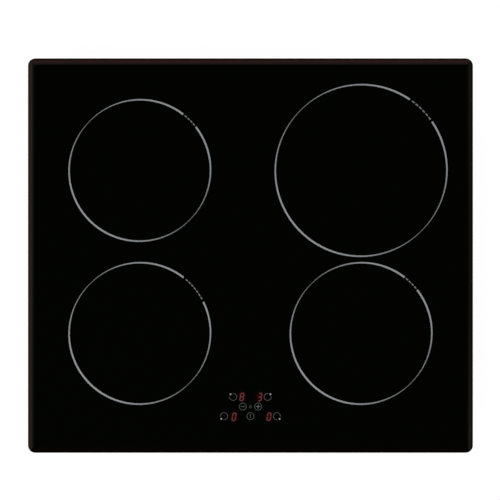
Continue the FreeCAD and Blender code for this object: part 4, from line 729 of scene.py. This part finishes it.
def rounded_track(low, high, corner):
    """Points and outward directions once round a rounded rectangle, from the rear middle."""
    track = []
    centres = ((high.x - corner, high.y - corner, 90), (high.x - corner, low.y + corner, 0),
               (low.x + corner, low.y + corner, -90), (low.x + corner, high.y - corner, -180))
    last = Vector(((low.x + high.x) / 2, high.y))
    out = Vector((0, 1))
    for x, y, first_angle in centres:
        entry = Vector((x, y)) + corner * out
        count = max(1, round((entry - last).length / FOAM_STEP))
        track += [(last.lerp(entry, step / count), out) for step in range(count)]
        for step in range(FOAM_CORNER_STEPS):
            turn = math.radians(first_angle - 90 * step / FOAM_CORNER_STEPS)
            direction = Vector((math.cos(turn), math.sin(turn)))
            track.append((Vector((x, y)) + corner * direction, direction))
        turn = math.radians(first_angle - 90)
        out = Vector((math.cos(turn), math.sin(turn)))
        last = Vector((x, y)) + corner * out
    end = Vector(((low.x + high.x) / 2, high.y))
    count = round((end - last).length / FOAM_STEP)
    track += [(last.lerp(end, step / count), out) for step in range(count + 1)]
    return track


def foam_section(height, number):
    """Outline of the squeezed tape: flat above and below, with bulging sides that waver."""
    waver = math.prod(math.sin(number * turn + start) for turn, start in FOAM_WAVES)
    bulge = FOAM_BULGE * (1 - FOAM_WAVER + FOAM_WAVER * waver)
    outline = []
    for row in range(FOAM_OUTER_ROWS + 1):
        share = row / FOAM_OUTER_ROWS
        outline.append((-bulge * (1 - math.sin(math.pi * share)), height * share))
    for row in range(FOAM_INNER_ROWS, -1, -1):
        share = row / FOAM_INNER_ROWS
        outline.append((-FOAM_WIDTH + bulge * (1 - math.sin(math.pi * share)), height * share))
    return outline


def make_foam(finish):
    """The seal under the glass rim: one strip of foam tape with its butt joint at the rear."""
    low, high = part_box("rim_gasket")
    height = high.z - low.z

    def code(shape):
        track = rounded_track(low, high, FOAM_CORNER)
        rings = []
        for number, (point, out) in enumerate(track):
            ring = [shape.verts.new((point.x + out.x * u, point.y + out.y * u, low.z + v))
                    for u, v in foam_section(height, number)]
            rings.append(ring)
        shift = Vector((FOAM_JOINT / 2, 0, 0))
        for vertex in rings[0]:
            vertex.co += shift
        for vertex in rings[-1]:
            vertex.co -= shift
        skin_rings(shape, rings)

    piece = new_piece("foam_seal", code, finish)
    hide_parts("rim_gasket")
    return piece


# Diameter of the wire and number of turns of the springs of a node, by how its name starts.
SPRING_WIRES = {"coil": (0.9 * MM, 3.5), "control": (0.6 * MM, 4.5)}
# All corners of a spring lie nearer to its first one than this, and no other spring's do.
SPRING_REACH = 12 * MM
SPRING_STEPS = 24
CLOSED_TURNS = 0.75
# How high the wire's middle lies over the ground end, as a share of the wire's diameter.
END_LIFT = 0.2
WIRE_SIDES = 10


def spring_boxes(node):
    """Lowest and highest corner of each spring of a node; the springs stand far apart."""
    groups = []
    for vertex in frame["nodes"][node].data.vertices:
        near = [group for group in groups
                if (vertex.co - group[0]).xy.length < SPRING_REACH]
        if near:
            near[0].append(vertex.co)
        else:
            groups.append([vertex.co])
    return [(Vector(min(place[axis] for place in group) for axis in range(3)),
             Vector(max(place[axis] for place in group) for axis in range(3)))
            for group in groups]


def add_spring(shape, low, high, wire, turns):
    """A compression spring: the end turns lie against their neighbours and are ground flat."""
    middle = (low + high) / 2
    radius = (high.x - low.x - wire) / 2
    bottom = low.z + END_LIFT * wire
    climb = high.z - low.z - 2 * END_LIFT * wire
    pitch = (climb - 2 * CLOSED_TURNS * wire) / (turns - 2 * CLOSED_TURNS)
    rings = []
    for step in range(round(turns * SPRING_STEPS) + 1):
        turn = step / SPRING_STEPS
        closed = min(turn, CLOSED_TURNS) + max(0.0, turn - turns + CLOSED_TURNS)
        z = bottom + closed * wire + (turn - closed) * pitch
        out = Vector((math.cos(2 * math.pi * turn), math.sin(2 * math.pi * turn), 0))
        centre = Vector((middle.x, middle.y, z)) + out * radius
        ring = []
        for side in range(WIRE_SIDES):
            angle = 2 * math.pi * side / WIRE_SIDES
            place = centre + out * (math.cos(angle) * wire / 2)
            place.z = min(max(z + math.sin(angle) * wire / 2, low.z), high.z)
            ring.append(shape.verts.new(place))
        rings.append(ring)
    skin_rings(shape, rings)


def make_springs(finish):
    """Wound springs under the coils and the touch unit, in place of their spring nodes."""
    for joint in frame["joints"]:
        for deforming in joint.get("deforming_nodes", ()):
            node = deforming["node"]
            wire, turns = SPRING_WIRES[node.split("_")[0]]

            def code(shape):
                for low, high in spring_boxes(node):
                    add_spring(shape, low, high, wire, turns)

            piece = new_piece(node.replace("springs", "spring_wires"), code, finish)
            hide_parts(node)
            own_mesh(piece)


WIRE_PITCH = 3.6 * MM
WIRE_STEP = 4.5 * MM
WIRE_AIR = 0.12 * MM


def make_winding(zone, finish):
    """A flat spiral of twisted wire on its carrier, as wide as the winding's node."""
    node = "coil_winding_" + zone
    low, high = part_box(node)
    middle = (low + high) / 2
    outer = (high.x - low.x) / 2
    inner = min((vertex.co - middle).xy.length for vertex in frame["nodes"][node].data.vertices)
    turns = round((outer - inner) / WIRE_PITCH)
    pitch = (outer - inner) / (turns + 1)
    half_width = (pitch - WIRE_AIR) / 2
    half_height = (high.z - low.z) / 2

    def code(shape):
        lay = shape.verts.layers.float_vector.new(WIRE_LAY)
        rings = []
        turn = 0.0
        while turn < turns:
            radius = inner + pitch * (turn + 0.5)
            out = Vector((math.cos(2 * math.pi * turn), math.sin(2 * math.pi * turn), 0))
            ring = []
            for side in range(WIRE_SIDES):
                angle = 2 * math.pi * side / WIRE_SIDES - math.pi / 2
                place = middle + out * (radius + half_width * math.cos(angle))
                place.z += half_height * math.sin(angle)
                vertex = shape.verts.new(place)
                vertex[lay] = Vector((len(rings) * WIRE_STEP, side / WIRE_SIDES, 0))
                ring.append(vertex)
            rings.append(ring)
            turn += WIRE_STEP / (2 * math.pi * radius)
        skin_rings(shape, rings)

    piece = new_piece("coil_wire_" + zone, code, finish, "coil_" + zone)
    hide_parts(node)


# The leaf of a clip: its outer face bends away below the foot, folds at its bulge, and ends at
# its tip. Distances are out of the pan's wall, and drops are below the top of the leaf.
CLIP_SHEET = 0.8 * MM
CLIP_BULGE = 7 * MM
CLIP_BULGE_DROP = 13 * MM
CLIP_TIP_OUT = 1.6 * MM
CLIP_BEND = 3 * MM
CLIP_FOLD = 1.5 * MM
CLIP_EDGE = 0.12 * MM
CLIP_TIP_CORNER = 2.5 * MM
CLIP_TIP_SHARES = (1.0, 0.6, 0.3, 0.1, 0.0)
CLIP_CURVE_STEPS = 8


def eased_corner(before, corner, after):
    """Points of a quadratic curve from before to after that the corner pulls outwards."""
    shares = [step / CLIP_CURVE_STEPS for step in range(CLIP_CURVE_STEPS + 1)]
    return [before.lerp(corner, share).lerp(corner.lerp(after, share), share)
            for share in shares]


def leaf_path(side, wall, foot_bottom, low, high):
    """Middle of the sheet from the foot down to the tip, as points in X and Z."""
    def place(out, z):
        return Vector((side * (wall + out - CLIP_SHEET / 2), 0, z))

    top = place(CLIP_SHEET, foot_bottom)
    hinge = place(CLIP_SHEET, high.z)
    bulge = place(CLIP_BULGE, high.z - CLIP_BULGE_DROP)
    tip = place(CLIP_TIP_OUT, low.z)
    down = (bulge - hinge).normalized()
    back = (tip - bulge).normalized()
    path = eased_corner(top, hinge, hinge + CLIP_BEND * down)
    path += eased_corner(bulge - CLIP_FOLD * down, bulge, bulge + CLIP_FOLD * back)
    path += [tip - CLIP_TIP_CORNER * share * back for share in CLIP_TIP_SHARES]
    return path


def make_clip_leaf(node, body, finish):
    """One strip of spring steel that grows out of its foot."""
    low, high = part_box(node)
    feet_low, feet_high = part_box("clip_feet")
    side = math.copysign(1, low.x)
    middle = (low.y + high.y) / 2
    half = (high.y - low.y) / 2
    path = leaf_path(side, feet_high.x - CLIP_SHEET, feet_low.z, low, high)

    def code(shape):
        rings = []
        for point in path:
            to_tip = min((path[-1] - point).length, CLIP_TIP_CORNER)
            cut = CLIP_TIP_CORNER - to_tip
            wide = half - CLIP_TIP_CORNER + math.sqrt(CLIP_TIP_CORNER ** 2 - cut ** 2)
            thick = CLIP_SHEET / 2
            section = ((-thick + CLIP_EDGE, -wide), (thick - CLIP_EDGE, -wide),
                       (thick, -wide + CLIP_EDGE), (thick, wide - CLIP_EDGE),
                       (thick - CLIP_EDGE, wide), (-thick + CLIP_EDGE, wide),
                       (-thick, wide - CLIP_EDGE), (-thick, -wide + CLIP_EDGE))
            rings.append([shape.verts.new((point.x + out, middle + along, point.z))
                          for out, along in section])
        skin_rings(shape, rings)
        for before, after in zip(rings, rings[1:]):
            for start, end in zip(before, after):
                shape.edges.get((start, end)).smooth = False

    piece = new_piece("clip_leaf_" + body.removeprefix("clip_"), code, finish,
                      None)
    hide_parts(node)
    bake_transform(piece)


# Studio ------------------------------------------------------------------------------------

CAMERA_LENS = 100
CAMERA_ASIDE = Vector((-0.6 * MM, 7.4 * MM, 0))
CAMERA_ABOVE = 1.84
CAMERA_NEAR = 0.05
CAMERA_FAR = 50
# Lamps: name, place and power.
LAMPS = (
    ("key_softbox", (-1.2, -1.3, 1.8), 38),
    ("fill_softbox", (1.4, 1.1, 1.8), 22),
)
LAMP_SIZE = 1.6
# Way to the dark flag overhead, and the tone of the surroundings by their angle from it in
# degrees.
FLAG = Vector((0, -0.17, 0.985)).normalized()
SKY = (
    (0, (0.0, 0.0, 0.0)),
    (27, (0.0, 0.0, 0.0)),
    (39, (0.1, 0.119, 0.1)),
    (47, (0.24, 0.275, 0.277)),
    (61, (0.85, 0.85, 0.85)),
)
# Cards: the side they stand on, how far their top and foot lean out and how far they lie along
# that side, as parts of a direction of length 1, and their tone.
CARDS = (
    (Vector((-1, 0, 0)), 0.53, 0.66, 0.0, (0.38, 0.431, 0.4)),
    (Vector((0, 1, 0)), 0.42, 0.65, 0.0, (0.235, 0.165, 0.183)),
    (Vector((1, 0, 0)), 0.53, 0.66, 0.3, (0.18, 0.163, 0.174)),
)
CARD_HALF_LENGTH = 0.15
CARD_FADE = 0.14
CARD_FOOT_FADE = 0.07
FLOOR_SIZE = 12
FLOOR_DROP = 0.2 * MM
PAPER = (0.88, 0.88, 0.88)
# The paper's own light, and the share of it that shows inside the shaded radius.
FLOOR_GLOW = 1.1
FLOOR_GLOW_SHARE = 0.82
FLOOR_SHADED = 0.6


def make_camera():
    """Straight above the glass, with the front edge at the bottom of the picture."""
    data = bpy.data.cameras.new("camera")
    data.lens = CAMERA_LENS
    data.clip_start = CAMERA_NEAR
    data.clip_end = CAMERA_FAR
    camera = bpy.data.objects.new("camera", data)
    middle = (glass_low + glass_high) / 2
    camera.location = Vector((middle.x, middle.y, FACE + CAMERA_ABOVE)) + CAMERA_ASIDE
    scene.collection.objects.link(camera)
    scene.camera = camera


def make_lamp(name, place, power):
    """A square softbox that faces the middle of the hob and does not show in its reflections."""
    data = bpy.data.lights.new(name, "AREA")
    data.size = LAMP_SIZE
    data.energy = power
    lamp = bpy.data.objects.new(name, data)
    lamp.location = place
    lamp.rotation_mode = "QUATERNION"
    lamp.rotation_quaternion = (-Vector(place)).to_track_quat("-Z", "Y")
    lamp.visible_glossy = False
    scene.collection.objects.link(lamp)


def card_light(sky, direction, side, top, foot, aside):
    """1 over a card, falling to 0 round it: softly at its top and ends, quickly at its foot."""
    out = sky.vector("DOT_PRODUCT", direction, side)
    along = sky.vector("DOT_PRODUCT", direction, side.cross(Vector((0, 0, 1))))
    off_middle = sky.maths("ABSOLUTE", sky.maths("SUBTRACT", along, aside))
    share = sky.maths("MULTIPLY", sky.ramp(out, top - CARD_FADE, top, smooth=True),
                      sky.ramp(out, foot + CARD_FOOT_FADE, foot, smooth=True))
    ends = sky.ramp(off_middle, CARD_HALF_LENGTH + CARD_FADE, CARD_HALF_LENGTH, smooth=True)
    return sky.maths("MULTIPLY", share, ends)


def make_sky():
    """What the hob reflects: pale surroundings, a dark flag overhead, and cards at the left, rear
    and right. The camera itself sees them as white."""
    world = bpy.data.worlds.new("studio")
    world.use_nodes = True
    scene.world = world
    sky = Wiring(world.node_tree)
    direction = sky.node("ShaderNodeTexCoord").outputs["Generated"]
    cosine = sky.vector("DOT_PRODUCT", direction, FLAG)
    angle = sky.maths("DIVIDE", sky.maths("ARCCOSINE", cosine), math.pi)
    band = sky.node("ShaderNodeValToRGB", {0: angle})
    stops = band.color_ramp.elements
    while len(stops) < len(SKY):
        stops.new(0.5)
    for stop, (degrees, tone) in zip(stops, SKY):
        stop.position = degrees / 180
        stop.color = (*tone, 1)
    light = band.outputs[0]
    for side, top, foot, aside, tone in CARDS:
        near = card_light(sky, direction, side, top, foot, aside)
        light = sky.vector("ADD", light, sky.vector("MULTIPLY", near, tone))
    rays = sky.node("ShaderNodeLightPath")
    seen = sky.blend(rays.outputs["Is Camera Ray"], light, WHITE)
    sky.feed(world.node_tree.nodes["Background"].inputs["Color"], seen)


def floor_paper():
    """White paper that shows as white, takes the hob's shadow, and is clear from below."""
    material = bpy.data.materials.new("studio_floor")
    material.use_nodes = True
    paper = Wiring(material.node_tree)
    for node in list(paper.tree.nodes):
        paper.tree.nodes.remove(node)
    rays = paper.node("ShaderNodeLightPath")
    seen = rays.outputs["Is Camera Ray"]
    for ray in ("Is Glossy Ray", "Is Transmission Ray"):
        seen = paper.maths("MAXIMUM", seen, rays.outputs[ray])
    matt = paper.node("ShaderNodeBsdfDiffuse", {"Color": colour(PAPER)})
    glow = paper.node("ShaderNodeEmission", {"Strength": FLOOR_GLOW})
    place = paper.node("ShaderNodeTexCoord").outputs["Object"]
    far = paper.ramp(paper.vector("LENGTH", place), FLOOR_SHADED, 2 * FLOOR_SHADED,
                     FLOOR_GLOW_SHARE, 1.0, smooth=True)
    share = paper.maths("MULTIPLY", seen, far)
    lit = paper.node("ShaderNodeMixShader", {0: share, 1: matt.outputs[0], 2: glow.outputs[0]})
    clear = paper.node("ShaderNodeBsdfTransparent")
    under = paper.node("ShaderNodeNewGeometry").outputs["Backfacing"]
    both = paper.node("ShaderNodeMixShader", {0: under, 1: lit.outputs[0], 2: clear.outputs[0]})
    paper.node("ShaderNodeOutputMaterial", {"Surface": both.outputs[0]})
    return material


def make_floor():
    """The paper on which the hob lies, a hair below its underside."""
    half = FLOOR_SIZE / 2
    mesh = bpy.data.meshes.new("floor")
    corners = [(-half, -half, 0), (half, -half, 0), (half, half, 0), (-half, half, 0)]
    mesh.from_pydata(corners, [], [(0, 1, 2, 3)])
    mesh.materials.append(floor_paper())
    floor = bpy.data.objects.new("floor", mesh)
    floor.location.z = cad_low.z - FLOOR_DROP
    scene.collection.objects.link(floor)


def make_studio():
    """Camera, surroundings, floor and lamps."""
    make_camera()
    make_sky()
    make_floor()
    for name, place, power in LAMPS:
        make_lamp(name, place, power)
    scene.view_settings.view_transform = "Standard"


make_studio()
finishes = make_finishes()
dress_frame(finishes)
make_digits()
make_foam(finishes["seal_foam"])
make_springs(finishes["spring_steel"])
for node_name in frame["nodes"]:
    if node_name.startswith("worktop_clip_"):
        make_clip_leaf(node_name, node_name.removeprefix("worktop_"), finishes["spring_steel"])
litz = winding_copper()
for zone_name in RINGS:
    make_winding(zone_name, litz)
